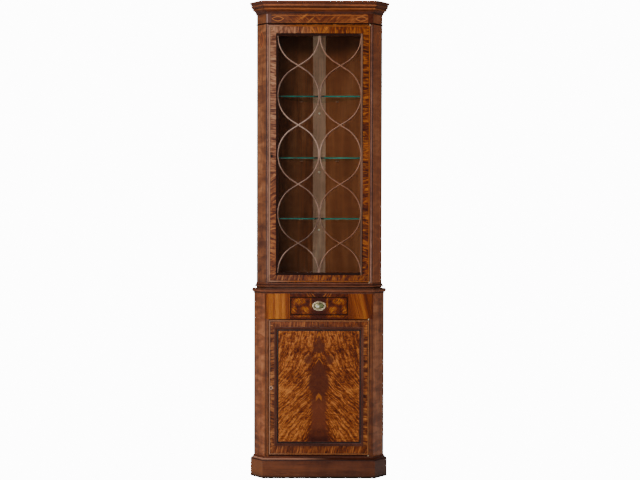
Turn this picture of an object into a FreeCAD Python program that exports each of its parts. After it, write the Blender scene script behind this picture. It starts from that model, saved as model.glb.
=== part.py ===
import FreeCAD, Part
import math
import os
from types import SimpleNamespace

import Sketcher
from FreeCAD import Placement, Rotation, Vector

# A Georgian corner cabinet in two stages, millimetres, +Z up.
# The viewer looks along +Y at the glazed front. The two backs lie against the walls of the
# room's corner, 45 degrees to the front, and the origin is on the floor under the middle.

SIZES = {
    # the whole cabinet
    "total_high": 1980.0,
    "back_half": 32.0,
    "back_thick": 10.0,
    "face_thick": 20.0,
    "board_thick": 18.0,
    "fit_gap": 0.3,
    "cut_over": 6.0,
    # lower case
    "case_half": 226.0,
    "case_cant": 47.5,
    "low_high": 791.5,
    "low_stile_wide": 16.0,
    "drawer_rail_high": 110.5,
    "plinth_high": 72.5,
    "plinth_out": 19.0,
    "plinth_trim_high": 16.0,
    "waist_high": 21.5,
    "waist_out": 12.0,
    "stop_rise": 12.0,
    "dust_thick": 10.0,
    "low_shelf_thick": 16.0,
    "low_shelf_back": 34.0,
    # upper case
    "case_step": 4.5,
    "cant_step": 5.5,
    "up_stile_wide": 9.0,
    "frieze_high": 45.0,
    "up_floor_thick": 22.5,
    "base_rise": 5.0,
    "base_high": 15.2,
    "base_out": 11.5,
    "neck_high": 5.0,
    "neck_out": 4.0,
    "cornice_high": 48.0,
    "cornice_out": 38.5,
    "top_thick": 14.0,
    "top_drop": 8.0,
    # glass shelves and what carries them
    "pane_shelf_thick": 6.0,
    "pane_shelf_back": 40.0,
    "peg_wide": 9.0,
    "peg_thick": 3.0,
    "peg_long": 12.0,
    "stud_radius": 5.0,
    "stud_out": 3.0,
    "stud_drop": 47.0,
    # both doors
    "door_side_gap": 1.0,
    "door_gap": 2.0,
    "door_thick": 20.0,
    # upper door
    "up_door_stile": 40.5,
    "up_door_rail": 43.5,
    "up_door_foot": 40.0,
    "glass_lip": 8.0,
    "glass_rebate": 8.0,
    "glass_thick": 3.0,
    "stop_strip": 6.0,
    "bead_wide": 10.0,
    "bead_out": 2.5,
    "bar_wide": 6.0,
    "bar_deep": 7.0,
    "bar_nose": 3.0,
    # lower door
    "low_door_stile": 23.0,
    "low_door_rail": 31.0,
    "low_door_foot": 39.0,
    "panel_sink": 7.0,
    "panel_thick": 8.0,
    "panel_lip": 12.0,
    "panel_trim": 17.5,
    # drawer
    "drawer_half": 119.5,
    "drawer_up": 17.0,
    "drawer_high": 75.5,
    "drawer_gap": 1.0,
    "drawer_front": 18.0,
    "drawer_side": 8.0,
    "drawer_side_drop": 8.0,
    "drawer_floor": 5.0,
    "drawer_floor_up": 3.0,
    "drawer_deep": 166.0,
    "cock_wide": 2.5,
    "cock_out": 1.2,
    "runner_wide": 22.0,
    "runner_wall": 7.0,
    "runner_high": 30.0,
    # drawer pull
    "plate_half": 28.5,
    "plate_rise": 20.25,
    "plate_thick": 1.6,
    "plate_dome": 1.2,
    "pull_half": 23.4,
    "pull_rise": 15.4,
    "pull_wire": 1.6,
    "pull_off": 0.5,
    "post_radius": 3.6,
    "post_nose": 1.6,
    "run_gap": 0.05,
    # pivot hinges
    "eye_radius": 2.6,
    "pivot_out": 0.5,
    "pin_radius": 1.4,
    "leaf_thick": 2.0,
    "leaf_long": 21.0,
    "leaf_wide": 9.0,
    "leaf_set": 5.0,
    # locks
    "lock_wide": 20.0,
    "lock_high": 46.0,
    "lock_deep": 13.0,
    "lock_set": 1.0,
    "bolt_thick": 4.0,
    "bolt_high": 14.0,
    "bolt_up": 4.0,
    "bolt_long": 17.0,
    "bolt_throw": 6.0,
    "bolt_room": 1.0,
    "key_radius": 2.3,
    "key_drop": 6.5,
    "key_rim": 1.1,
    "key_proud": 0.3,
    "key_deep": 4.0,
    "up_key_in": 13.0,
    "low_key_in": 9.0,
}

ROOT2 = math.sqrt(2.0)
MITRE_SHARE = ROOT2 - 1.0
BAR_SLOPE = math.radians(32.0)
BAYS = 4


class Length:
    """A length that knows its value now and the sheet expression it comes from."""

    def __init__(self, value, text):
        self.value = float(value)
        self.text = text

    def _join(self, other, sign, value):
        other_text = other.text if isinstance(other, Length) else repr(other)
        return Length(value, f"({self.text}{sign}{other_text})")

    def __add__(self, other):
        if isinstance(other, Length) or other:
            return self._join(other, "+", self.value + worth(other))
        return self

    __radd__ = __add__

    def __sub__(self, other):
        return self._join(other, "-", self.value - worth(other))

    def __rsub__(self, other):
        return -self + other

    def __mul__(self, share):
        return self._join(share, "*", self.value * worth(share))

    __rmul__ = __mul__

    def __truediv__(self, share):
        return self._join(share, "/", self.value / worth(share))

    def __neg__(self):
        return Length(-self.value, f"(0-{self.text})")


def worth(item):
    """The number behind a Length or a plain number."""
    return item.value if isinstance(item, Length) else float(item)


def text_of(item):
    """The sheet expression of a Length or a plain number."""
    return f"({item.text})" if isinstance(item, Length) else f"({item!r})"


doc = FreeCAD.newDocument("corner_cabinet")
sheet = doc.addObject("Spreadsheet::Sheet", "Sizes")
for row, (alias, number) in enumerate(SIZES.items(), start=1):
    sheet.set(f"A{row}", alias)
    sheet.set(f"B{row}", str(number))
    sheet.setAlias(f"B{row}", alias)
doc.recompute()
s = SimpleNamespace(**{alias: Length(number, f"Sizes.{alias}") for alias, number in SIZES.items()})
nodes = []


# Sketches and blocks

def new_body(name):
    """An empty body with its label."""
    body = doc.addObject("PartDesign::Body", name)
    body.Label = name
    return body


def node(item, label=None):
    """Lists an object as one piece of the cabinet, under its label."""
    item.Label = label or item.Label
    nodes.append(item)
    return item


def group(name, members):
    """Several small pieces kept under one name."""
    together = doc.addObject("Part::Compound", name)
    together.Links = members
    return node(together)


def place(item, x, y, z=0, turn=0):
    """Puts an object at a point, turned about the upright axis by so many degrees."""
    item.Placement = Placement(Vector(worth(x), worth(y), worth(z)), Rotation(Vector(0, 0, 1), turn))
    for axis, value in (("x", x), ("y", y), ("z", z)):
        if isinstance(value, Length):
            item.setExpression(f"Placement.Base.{axis}", value.text)
    return item


def new_sketch(body, plane, start):
    """A sketch on one of the body's own planes, moved along that plane's normal."""
    sketch = body.newObject("Sketcher::SketchObject", f"{body.Name}_outline")
    face = next(item for item in body.Origin.OriginFeatures if item.Role == f"{plane}_Plane")
    sketch.AttachmentSupport = [(face, "")]
    sketch.MapMode = "FlatFace"
    if isinstance(start, Length):
        sketch.AttachmentOffset = Placement(Vector(0, 0, start.value), Rotation())
        sketch.setExpression("AttachmentOffset.Base.z", start.text)
    return sketch


def hold(sketch, kind, value, *where):
    """Adds one dimension to a sketch and ties it to the sheet."""
    index = sketch.addConstraint(Sketcher.Constraint(kind, *where, worth(value)))
    if isinstance(value, Length):
        sketch.setExpression(f"Constraints[{index}]", value.text)


def add_edge(sketch, first, second, bulge):
    """A line, or an arc whose bulge is the tangent of a quarter of its turn."""
    start, end = Vector(first[0], first[1], 0), Vector(second[0], second[1], 0)
    if not bulge:
        return sketch.addGeometry(Part.LineSegment(start, end), False), 1, 2
    chord = end - start
    side = Vector(-chord.y, chord.x, 0)
    centre = (start + end) / 2 + side * ((1 - bulge * bulge) / (4 * bulge))
    low, high = (start, end) if bulge > 0 else (end, start)
    first_angle = math.atan2(low.y - centre.y, low.x - centre.x)
    last_angle = math.atan2(high.y - centre.y, high.x - centre.x)
    if last_angle <= first_angle:
        last_angle += 2 * math.pi
    circle = Part.Circle(centre, Vector(0, 0, 1), (start - centre).Length)
    index = sketch.addGeometry(Part.ArcOfCircle(circle, first_angle, last_angle), False)
    return (index, 1, 2) if bulge > 0 else (index, 2, 1)


def add_path(sketch, corners, closed=True):
    """Lines and arcs through the corners (x, y) or (x, y, bulge of the edge that follows)."""
    corners = [tuple(corner) + (0,) * (3 - len(corner)) for corner in corners]
    count = len(corners) if closed else len(corners) - 1
    edges = []
    for index in range(count):
        here, after = corners[index], corners[(index + 1) % len(corners)]
        flat = (worth(here[0]), worth(here[1])), (worth(after[0]), worth(after[1]))
        edges.append(add_edge(sketch, flat[0], flat[1], here[2]))
    for index in range(count if closed else count - 1):
        edge, after = edges[index], edges[(index + 1) % count]
        sketch.addConstraint(Sketcher.Constraint("Coincident", edge[0], edge[2], after[0], after[1]))
    for index, corner in enumerate(corners):
        edge = edges[min(index, count - 1)]
        point = edge[1] if index < count else edge[2]
        hold(sketch, "DistanceX", corner[0], -1, 1, edge[0], point)
        hold(sketch, "DistanceY", corner[1], -1, 1, edge[0], point)
        if index < count and corner[2]:
            after = corners[(index + 1) % len(corners)]
            share = (1 - corner[2] ** 2) / (4 * corner[2])
            wide, high = after[0] - corner[0], after[1] - corner[1]
            if abs(worth(wide)) >= abs(worth(high)):
                hold(sketch, "DistanceY", (corner[1] + after[1]) / 2 + wide * share, -1, 1, edge[0], 3)
            else:
                hold(sketch, "DistanceX", (corner[0] + after[0]) / 2 - high * share, -1, 1, edge[0], 3)


def add_circle(sketch, x, y, radius):
    """A circle in a sketch."""
    circle = Part.Circle(Vector(worth(x), worth(y), 0), Vector(0, 0, 1), radius.value)
    index = sketch.addGeometry(circle, False)
    hold(sketch, "DistanceX", x, -1, 1, index, 3)
    hold(sketch, "DistanceY", y, -1, 1, index, 3)
    hold(sketch, "Radius", radius, index)


def block(body, plane, outlines, start, end, cut=False, taper=0):
    """Adds or cuts the space between two planes inside the outlines.

    The space runs from start to end along +Z on plane XY, +X on YZ and +Y on XZ. An outline
    is a list of corners, or the three values of a circle: (x, y, radius).
    """
    sketch = new_sketch(body, plane, -end if plane == "XZ" else start)
    for outline in outlines:
        if isinstance(outline, tuple):
            add_circle(sketch, *outline)
        else:
            add_path(sketch, outline)
    kind = "PartDesign::Pocket" if cut else "PartDesign::Pad"
    feature = body.newObject(kind, f"{body.Name}_{'cut' if cut else 'pad'}")
    feature.Profile = sketch
    feature.Reversed = cut
    length = end - start
    feature.Length = length.value
    feature.setExpression("Length", length.text)
    if taper:
        feature.TaperAngle = taper
    sketch.Visibility = False
    return feature


def rect(x_from, y_from, x_to, y_to):
    """The four corners of a rectangle."""
    return [(x_from, y_from), (x_to, y_from), (x_to, y_to), (x_from, y_to)]


def box_of(name, x_from, x_to, y_from, y_to, z_from, z_to):
    """A square-edged board between six planes."""
    body = new_body(name)
    block(body, "XY", [rect(x_from, y_from, x_to, y_to)], z_from, z_to)
    return body


# Planes and levels that many pieces share

up_half = s.case_half - s.case_step
up_cant = s.case_cant - s.cant_step
apex_y = (up_half + 2 * up_cant + s.cornice_out + s.back_half) / 2
back_y = apex_y - s.back_half
low_y = apex_y - s.case_half - 2 * s.case_cant
up_y = apex_y - up_half - 2 * up_cant

low_wall_top = s.low_high - s.board_thick
low_frieze_z = low_wall_top - s.drawer_rail_high
low_door_top = low_frieze_z - s.door_gap
sill_z = s.plinth_high + s.plinth_trim_high + s.leaf_thick + s.fit_gap
low_door_z = sill_z + s.door_gap
drawer_z = low_frieze_z + s.drawer_up

up_floor_top = s.low_high + s.up_floor_thick
up_door_z = up_floor_top + s.door_gap
cornice_z = s.total_high - s.cornice_high
up_frieze_z = cornice_z - s.frieze_high
up_door_top = up_frieze_z - s.door_gap
neck_z = up_frieze_z + s.leaf_thick + s.fit_gap
up_wall_top = s.total_high - s.top_drop - s.top_thick


def case_of(name, half, cant, face, stile_wide):
    """The plan of a case, with half the width of the door between its stiles."""
    stile_x = half - stile_wide
    return SimpleNamespace(name=name, half=half, cant=cant, face=face, stile_x=stile_x,
                           door_half=stile_x - s.door_side_gap)


LOWER = case_of("lower", s.case_half, s.case_cant, low_y, s.low_stile_wide)
UPPER = case_of("upper", up_half, up_cant, up_y, s.up_stile_wide)
SIDES = (("left", -1), ("right", 1))
UP_KEY_SHARE = 0.492
LOW_KEY_SHARE = 0.5


def plan(case, front_in=0, cant_in=0, wall_in=0, corner_in=0):
    """The case's five-sided plan, with each side drawn in by its own amount."""
    front = case.face + front_in
    back = back_y - corner_in
    right = [
        (case.half + front_in - cant_in * ROOT2, front),
        (case.half + case.cant - (cant_in + wall_in) / ROOT2,
         apex_y - case.half - case.cant + (cant_in + wall_in) / ROOT2 - wall_in * ROOT2),
        (s.back_half + corner_in - wall_in * ROOT2, back),
    ]
    left = [(-x, y) for x, y in reversed(right)]
    return right + left


# Mouldings: each profile is (share of its projection, share of its height, bulge)

CORNICE_SHARES = [
    (0.0, 0.0), (0.10, 0.0), (0.10, 0.04, -0.32), (0.50, 0.30), (0.50, 0.34), (0.56, 0.34, 0.75),
    (0.56, 0.45), (0.62, 0.45, 0.30), (0.82, 0.62, -0.30), (0.95, 0.84), (1.0, 0.84), (1.0, 1.0),
    (0.0, 1.0),
]
BOARD_SHARES = [(0.0, 0.0), (1.0, 0.0), (1.0, 1.0), (0.0, 1.0)]
NECK_SHARES = [(0.0, 0.0), (0.45, 0.0, 0.85), (0.45, 1.0), (0.0, 1.0)]
BASE_SHARES = [
    (0.0, 0.0), (0.78, 0.0, 0.80), (0.78, 0.34), (0.70, 0.34), (0.70, 0.42, -0.36), (0.30, 0.88),
    (0.30, 1.0), (0.0, 1.0),
]
WAIST_SHARES = [
    (0.0, 0.0), (0.20, 0.0, -0.38), (0.55, 0.30), (0.55, 0.38), (0.70, 0.38, 0.62), (0.70, 0.90),
    (0.62, 0.90), (0.62, 1.0), (0.0, 1.0),
]
PLINTH_SHARES = [
    (0.0, 0.0), (0.98, 0.0), (0.98, 0.16), (0.90, 0.16, 0.30), (0.62, 0.50, -0.30), (0.28, 0.78),
    (0.28, 0.86), (0.16, 0.86), (0.16, 1.0), (0.0, 1.0),
]


def profile(shares, out, high, base):
    """A moulding's section, out of the face to the left and upright."""
    return [(-out * point[0], base + high * point[1]) + tuple(-bulge for bulge in point[2:])
            for point in shares]


def mitre_cut(body, corner_x, side, out, base, high):
    """Takes off the end of a run beyond the mitre that bisects the cabinet's corner."""
    reach = out + s.cut_over
    end_x = corner_x + side * (MITRE_SHARE * reach)
    far_x = end_x + side * s.cut_over
    waste = [
        (corner_x - side * (MITRE_SHARE * s.cut_over), s.cut_over),
        (end_x, -reach), (far_x, -reach), (far_x, s.cut_over),
    ]
    block(body, "XY", [waste], base - s.cut_over, base + high + s.cut_over, cut=True)


def moulding(name, case, shares, out, high, base):
    """A moulding round the front and both cants, mitred at the front corners."""
    runs = []
    front = new_body(f"{name}_front")
    reach = case.half + MITRE_SHARE * out
    block(front, "YZ", [profile(shares, out, high, base)], -reach, reach)
    for _, side in SIDES:
        mitre_cut(front, side * case.half, side, out, base, high)
    runs.append(place(front, 0, case.face))
    for label, side in SIDES:
        body = new_body(f"{name}_{label}")
        near, far = -MITRE_SHARE * out, case.cant * ROOT2
        ends = (near, far) if side > 0 else (-far, -near)
        block(body, "YZ", [profile(shares, out, high, base)], *ends)
        mitre_cut(body, 0 * out, -side, out, base, high)
        runs.append(place(body, side * case.half, case.face, 0, side * 45))
    return group(name, runs)


def case_walls(case, low, high):
    """The two cants, the two backs and the corner board between two levels."""
    for label, side in SIDES:
        cant = new_body(f"{case.name}_cant_{label}")
        long = case.cant * ROOT2
        t = s.face_thick
        outline = [(0, 0), (side * long, 0), (side * long, t), (side * t, t)]
        block(cant, "XY", [outline], low, high)
        node(place(cant, side * case.half, case.face, 0, side * 45))

        back = new_body(f"{case.name}_back_{label}")
        wide = (case.half + case.cant - s.back_half) * ROOT2
        b = s.back_thick
        outline = [(t, 0), (wide, 0), (wide - MITRE_SHARE * b, side * b), (t, side * b)]
        block(back, "XY", [outline], low, high)
        end_x, end_y = side * (case.half + case.cant), apex_y - case.half - case.cant
        node(place(back, end_x, end_y, 0, 90 + side * 45))

    corner = new_body(f"{case.name}_corner_board")
    inner = s.back_half - MITRE_SHARE * s.back_thick
    front = back_y - s.back_thick
    outline = [(-s.back_half, back_y), (-inner, front), (inner, front), (s.back_half, back_y)]
    block(corner, "XY", [outline], low, high)
    node(corner)


def leaf_outline(case):
    """The plan of a pivot hinge's leaf: a strap along the edge and an arm to the eye."""
    right = case.door_half
    arm = right - 2 * s.eye_radius
    end = right - s.leaf_long
    eye_y = case.face - s.pivot_out
    front = case.face + s.leaf_set
    back = front + s.leaf_wide
    return [(end, back), (right, back), (right, eye_y, -1.0), (arm, eye_y), (arm, front), (end, front)]


def bolt_space(body, face, key_z, x_from, x_to):
    """Cuts the room in which a lock's bolt slides."""
    near = face + s.door_thick - s.lock_deep + s.bolt_thick - s.fit_gap
    far = near + s.bolt_thick + 2 * s.fit_gap
    low = key_z + s.bolt_up - s.fit_gap
    block(body, "YZ", [rect(near, low, far, low + s.bolt_high + 2 * s.fit_gap)], x_from, x_to, cut=True)


# Lower case

moulding("plinth_boards", LOWER, BOARD_SHARES, s.plinth_out, s.plinth_high, 0 * s.plinth_high)
moulding("plinth_moulding", LOWER, PLINTH_SHARES, s.plinth_out, s.plinth_trim_high, s.plinth_high)
moulding("waist_moulding", LOWER, WAIST_SHARES, s.waist_out, s.waist_high, s.low_high - s.waist_high)
case_walls(LOWER, 0 * s.low_high, low_wall_top)

low_top = new_body("lower_top_board")
block(low_top, "XY", [plan(LOWER)], low_wall_top, s.low_high)
node(low_top)

inside = dict(cant_in=s.face_thick, wall_in=s.back_thick, corner_in=s.back_thick)
behind_door = s.door_thick + s.door_side_gap
low_floor = new_body("lower_floor_board")
low_floor_top = sill_z + s.stop_rise
block(low_floor, "XY", [plan(LOWER, front_in=behind_door, **inside)],
      low_floor_top - s.board_thick, low_floor_top)
node(low_floor)

low_shelf = new_body("lower_shelf")
low_shelf_z = (low_floor_top + low_frieze_z) / 2
block(low_shelf, "XY", [plan(LOWER, front_in=s.door_thick + s.low_shelf_back, **inside)],
      low_shelf_z, low_shelf_z + s.low_shelf_thick)
node(low_shelf)

dust_board = new_body("dust_board")
block(dust_board, "XY", [plan(LOWER, front_in=s.face_thick, **inside)],
      low_frieze_z, low_frieze_z + s.dust_thick)
node(dust_board)

low_key_z = low_door_z + (low_door_top - low_door_z) * LOW_KEY_SHARE
up_key_z = up_door_z + (up_door_top - up_door_z) * UP_KEY_SHARE


def case_stile(case, label, side, low, high, key_z):
    """The narrow upright between a door and a cant; the left one takes the bolt."""
    body = new_body(f"{case.name}_stile_{label}")
    block(body, "XY", [rect(side * case.stile_x, case.face, side * case.half, case.face + s.face_thick)],
          low, high)
    if side < 0:
        deep = case.door_half + s.bolt_throw + s.bolt_room
        bolt_space(body, case.face, key_z, -deep, -case.door_half)
    return node(body)


for label, side in SIDES:
    case_stile(LOWER, label, side, 0 * s.low_high, low_frieze_z, low_key_z)

low_rail = box_of("lower_bottom_rail", -LOWER.stile_x, LOWER.stile_x, low_y, low_y + s.face_thick,
                  0 * sill_z, sill_z)
block(low_rail, "XY", [leaf_outline(LOWER)], sill_z - s.leaf_thick, sill_z + s.cut_over, cut=True)
node(low_rail)

low_frieze = box_of("drawer_rail", -s.case_half, s.case_half, low_y, low_y + s.face_thick,
                    low_frieze_z, low_wall_top)
block(low_frieze, "XZ", [rect(-s.drawer_half, drawer_z, s.drawer_half, drawer_z + s.drawer_high)],
      low_y - s.cut_over, low_y + s.face_thick + s.cut_over, cut=True)
block(low_frieze, "XY", [leaf_outline(LOWER)], low_frieze_z - s.cut_over,
      low_frieze_z + s.leaf_thick, cut=True)
node(low_frieze)

runner_x = s.drawer_half - s.drawer_gap + s.fit_gap
runner_z = drawer_z + s.drawer_gap - s.fit_gap
runner_y = low_y + s.face_thick
runner_end = apex_y - runner_x - s.runner_wall - s.back_thick * ROOT2 - s.door_side_gap
runners = []
for label, side in SIDES:
    runner = new_body(f"drawer_runner_{label}")
    base = low_frieze_z + s.dust_thick
    inner, outer = runner_x - s.runner_wide, runner_x + s.runner_wall
    section = [(side * inner, base), (side * outer, base), (side * outer, runner_z + s.runner_high),
               (side * runner_x, runner_z + s.runner_high), (side * runner_x, runner_z),
               (side * inner, runner_z)]
    block(runner, "XZ", [section], runner_y, runner_end)
    runners.append(runner)
group("drawer_runners", runners)


# Upper case

moulding("base_moulding", UPPER, BASE_SHARES, s.base_out, s.base_high, s.low_high + s.base_rise)
moulding("neck_bead", UPPER, NECK_SHARES, s.neck_out, s.neck_high, neck_z)
moulding("cornice", UPPER, CORNICE_SHARES, s.cornice_out, s.cornice_high, cornice_z)
case_walls(UPPER, up_floor_top, up_wall_top)

up_floor = new_body("upper_floor_board")
block(up_floor, "XY", [plan(UPPER)], s.low_high, up_floor_top)
block(up_floor, "XY", [leaf_outline(UPPER)], up_floor_top - s.leaf_thick,
      up_floor_top + s.cut_over, cut=True)
node(up_floor)

up_top = new_body("upper_top_board")
block(up_top, "XY", [plan(UPPER)], up_wall_top, up_wall_top + s.top_thick)
node(up_top)

for label, side in SIDES:
    case_stile(UPPER, label, side, up_floor_top, up_frieze_z, up_key_z)

up_frieze = box_of("upper_frieze", -up_half, up_half, up_y, up_y + s.face_thick,
                   up_frieze_z, up_wall_top)
block(up_frieze, "XY", [leaf_outline(UPPER)], up_frieze_z - s.cut_over,
      up_frieze_z + s.leaf_thick, cut=True)
node(up_frieze)

# Glass shelves, pegs in the backs under each of them, and round studs on the corner board

SHELF_SHARES = (0.2256, 0.4846, 0.7467)
open_low = up_door_z + s.up_door_foot
open_high = up_door_top - s.up_door_rail
shelf_levels = [open_low + (open_high - open_low) * share for share in SHELF_SHARES]
room = dict(cant_in=s.face_thick + s.fit_gap, wall_in=s.back_thick + s.fit_gap,
            corner_in=s.back_thick + s.fit_gap)
for index, level in enumerate(shelf_levels, start=1):
    shelf = new_body(f"glass_shelf_{index}")
    block(shelf, "XY", [plan(UPPER, front_in=s.pane_shelf_back, **room)],
          level, level + s.pane_shelf_thick)
    node(shelf)

PEG_SHARES = (0.25, 0.75)
wall_long = (up_half + up_cant - s.back_half) * ROOT2
pegs = []
for label, side in SIDES:
    peg_row = new_body(f"shelf_pegs_{label}")
    inner, outer = side * s.back_thick, side * (s.back_thick + s.peg_long)
    for level in shelf_levels:
        for share in PEG_SHARES:
            near = wall_long * share - s.peg_wide / 2
            block(peg_row, "XY", [rect(near, inner, near + s.peg_wide, outer)],
                  level - s.fit_gap - s.peg_thick, level - s.fit_gap)
    pegs.append(place(peg_row, side * (up_half + up_cant), apex_y - up_half - up_cant, 0,
                      90 + side * 45))
group("shelf_pegs", pegs)

studs = new_body("corner_studs")
stud_face = back_y - s.back_thick
for level in shelf_levels:
    block(studs, "XZ", [(0, level - s.stud_drop, s.stud_radius)], stud_face - s.stud_out, stud_face)
node(studs)


# Pivot hinges: a leaf with a pin in the case and a leaf with an eye in the door

def pivot_pair(case, low, high):
    """The fixed leaves under and over a door, and the door's own two leaves."""
    eye = (case.door_half - s.eye_radius, case.face - s.pivot_out)
    fixed = new_body(f"{case.name}_hinge_pins")
    moving = new_body(f"{case.name}_hinge_eyes")
    for end, up in ((low, -1), (high, 1)):
        leaf_from = end + up * s.door_gap
        reach = [leaf_from, leaf_from + up * s.leaf_thick]
        boss = [end + up * s.fit_gap, leaf_from]
        pin = [end - up * (s.leaf_thick - s.fit_gap), leaf_from]
        inner = [end - up * s.leaf_thick, end]
        order = 1 if up > 0 else -1
        block(fixed, "XY", [leaf_outline(case)], *reach[::order])
        block(fixed, "XY", [eye + (s.eye_radius,)], *boss[::order])
        block(fixed, "XY", [eye + (s.pin_radius,)], *pin[::order])
        inner = inner[::order]
        block(moving, "XY", [leaf_outline(case), eye + (s.pin_radius + s.run_gap,)], *inner)
    node(moving)
    return fixed


group("hinge_pins", [pivot_pair(LOWER, low_door_z, low_door_top),
                     pivot_pair(UPPER, up_door_z, up_door_top)])


# Doors

def keyhole(x, z, grow):
    """A keyhole's outline: most of a circle over a straight slot, opened out by grow."""
    radius = s.key_radius + grow
    half = radius * math.sin(math.radians(35))
    neck = radius * math.cos(math.radians(35))
    low = z - s.key_drop - grow
    return [(x - half, low), (x + half, low), (x + half, z - neck, math.tan(math.radians(72.5))),
            (x - half, z - neck)]


def cut_hinges(body, case, low, high):
    """Cuts the beds of the two hinge leaves in a door's stile."""
    block(body, "XY", [leaf_outline(case)], low - s.cut_over, low + s.leaf_thick, cut=True)
    block(body, "XY", [leaf_outline(case)], high - s.leaf_thick, high + s.cut_over, cut=True)


def cut_lock(body, case, key_x, key_z):
    """Cuts the bed of the lock, the bolt's way out and the keyhole in a door's stile."""
    edge = -case.door_half + s.lock_set
    back = case.face + s.door_thick
    front = back - s.lock_deep
    high = s.lock_high / 2
    block(body, "XZ", [rect(edge, key_z - high, edge + s.lock_wide, key_z + high)],
          front, back + s.cut_over, cut=True)
    bolt_space(body, case.face, key_z, -case.door_half - s.cut_over, edge)
    block(body, "XZ", [keyhole(key_x, key_z, s.key_rim)], case.face - s.cut_over, front + s.fit_gap, cut=True)


def lock(case, key_x, key_z):
    """A lock case with its brass keyhole lining, and the bolt that slides in it."""
    edge = -case.door_half + s.lock_set
    back = case.face + s.door_thick
    front = back - s.lock_deep
    high = s.lock_high / 2
    body = new_body(f"{case.name}_lock_box")
    block(body, "XZ", [rect(edge, key_z - high, edge + s.lock_wide, key_z + high)], front, back)
    bolt_space(body, case.face, key_z, edge - s.cut_over, edge + s.lock_wide - s.lock_set)
    block(body, "XZ", [keyhole(key_x, key_z, 0 * s.key_rim)], front - s.cut_over,
          back - s.bolt_thick, cut=True)
    lining = new_body(f"{case.name}_keyhole_lining")
    block(lining, "XZ", [keyhole(key_x, key_z, s.key_rim), keyhole(key_x, key_z, 0 * s.key_rim)],
          case.face - s.key_proud, case.face + s.key_deep)
    group(f"{case.name}_lock", [body, lining])
    bolt = new_body(f"{case.name}_lock_bolt")
    near = front + s.bolt_thick
    low = key_z + s.bolt_up
    rest = -case.door_half + s.fit_gap
    block(bolt, "YZ", [rect(near, low, near + s.bolt_thick, low + s.bolt_high)],
          rest, rest + s.bolt_long)
    node(bolt)


def frame_path(body, half, low, high, y):
    """A closed rectangular path upright in the door's plane, begun at the top's middle."""
    path = new_sketch(body, "XZ", -y)
    add_path(path, [(0, high), (half, high), (half, low), (-half, low), (-half, high)])
    path.Visibility = False
    return path


def frame_moulding(name, half, low, high, face, section):
    """A moulding swept round a rectangle with mitred corners.

    The section's points are (distance in from the rectangle, distance behind the face).
    """
    body = new_body(name)
    path = frame_path(body, half, low, high, face)
    across = new_sketch(body, "YZ", None)
    add_path(across, [(face + point[1], high - point[0]) + tuple(-bulge for bulge in point[2:])
                      for point in section])
    across.Visibility = False
    sweep = body.newObject("PartDesign::AdditivePipe", f"{name}_sweep")
    sweep.Profile = across
    sweep.Spine = path
    sweep.Transition = "Right corner"
    return node(body)


# Upper door: rebated frame, bead, tracery, glass and the strips that hold it

open_half = UPPER.door_half - s.up_door_stile
up_key_x = -UPPER.door_half + s.up_key_in
low_key_x = -LOWER.door_half + s.low_key_in
lip_y = up_y + s.glass_lip
door_back = up_y + s.door_thick
for label, side in SIDES:
    stile = new_body(f"upper_door_stile_{label}")
    edge, inner = side * UPPER.door_half, side * open_half
    rebate = side * (open_half + s.glass_rebate)
    section = [(edge, up_y), (inner, up_y), (inner, lip_y), (rebate, lip_y), (rebate, door_back),
               (edge, door_back)]
    block(stile, "XY", [section], up_door_z, up_door_top)
    if side > 0:
        cut_hinges(stile, UPPER, up_door_z, up_door_top)
    else:
        cut_lock(stile, UPPER, up_key_x, up_key_z)
    node(stile)

for label, inner, edge, way in (("top", open_high, up_door_top, 1), ("bottom", open_low, up_door_z, -1)):
    rail = new_body(f"upper_door_rail_{label}")
    rebate = inner + way * s.glass_rebate
    section = [(up_y, edge), (up_y, inner), (lip_y, inner), (lip_y, rebate), (door_back, rebate),
               (door_back, edge)]
    block(rail, "YZ", [section], -open_half, open_half)
    node(rail)

BEAD_SHARES = [(0.0, 0.0), (0.0, 0.25, -0.33), (0.5, 1.0, -0.33), (1.0, 0.25), (1.0, 0.0)]
bead_section = [(s.bead_wide * point[0], -s.bead_out * point[1]) + tuple(point[2:])
                for point in BEAD_SHARES]
frame_moulding("upper_door_bead", open_half + s.bead_wide, open_low - s.bead_wide,
               open_high + s.bead_wide, up_y, bead_section)

pane = box_of("upper_door_glass", -open_half - s.glass_rebate + s.fit_gap,
              open_half + s.glass_rebate - s.fit_gap, lip_y, lip_y + s.glass_thick,
              open_low - s.glass_rebate + s.fit_gap, open_high + s.glass_rebate - s.fit_gap)
node(pane)

strip_out = s.glass_rebate - s.fit_gap
strip_y = lip_y + s.glass_thick
STRIP_SHARES = [(0.0, 0.0), (1.0, 0.0), (1.0, 0.3, -0.41), (0.3, 1.0), (0.0, 1.0)]
strip_section = [(s.stop_strip * point[0], s.stop_strip * point[1]) + tuple(point[2:])
                 for point in STRIP_SHARES]
frame_moulding("upper_door_glass_strips", open_half + strip_out, open_low - strip_out,
               open_high + strip_out, strip_y, strip_section)

# The tracery: in each of two columns two bars swing from side to side in long S curves and
# cross in the middle of each bay, so that they enclose a chain of pointed ovals. A quarter of
# a bay, from a crossing to the point where the bar touches the side, is swept once and mirrored.

cell_wide = open_half / 2
cell_high = (open_high - open_low) / (2 * BAYS)
sine, cosine, tangent = math.sin(BAR_SLOPE), math.cos(BAR_SLOPE), math.tan(BAR_SLOPE)
bend = (cell_high - cell_wide * tangent) / (cosine - tangent * (1 - sine))
straight = (cell_wide - bend * (1 - sine)) / cosine
bar_front = lip_y - s.bar_deep

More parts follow.
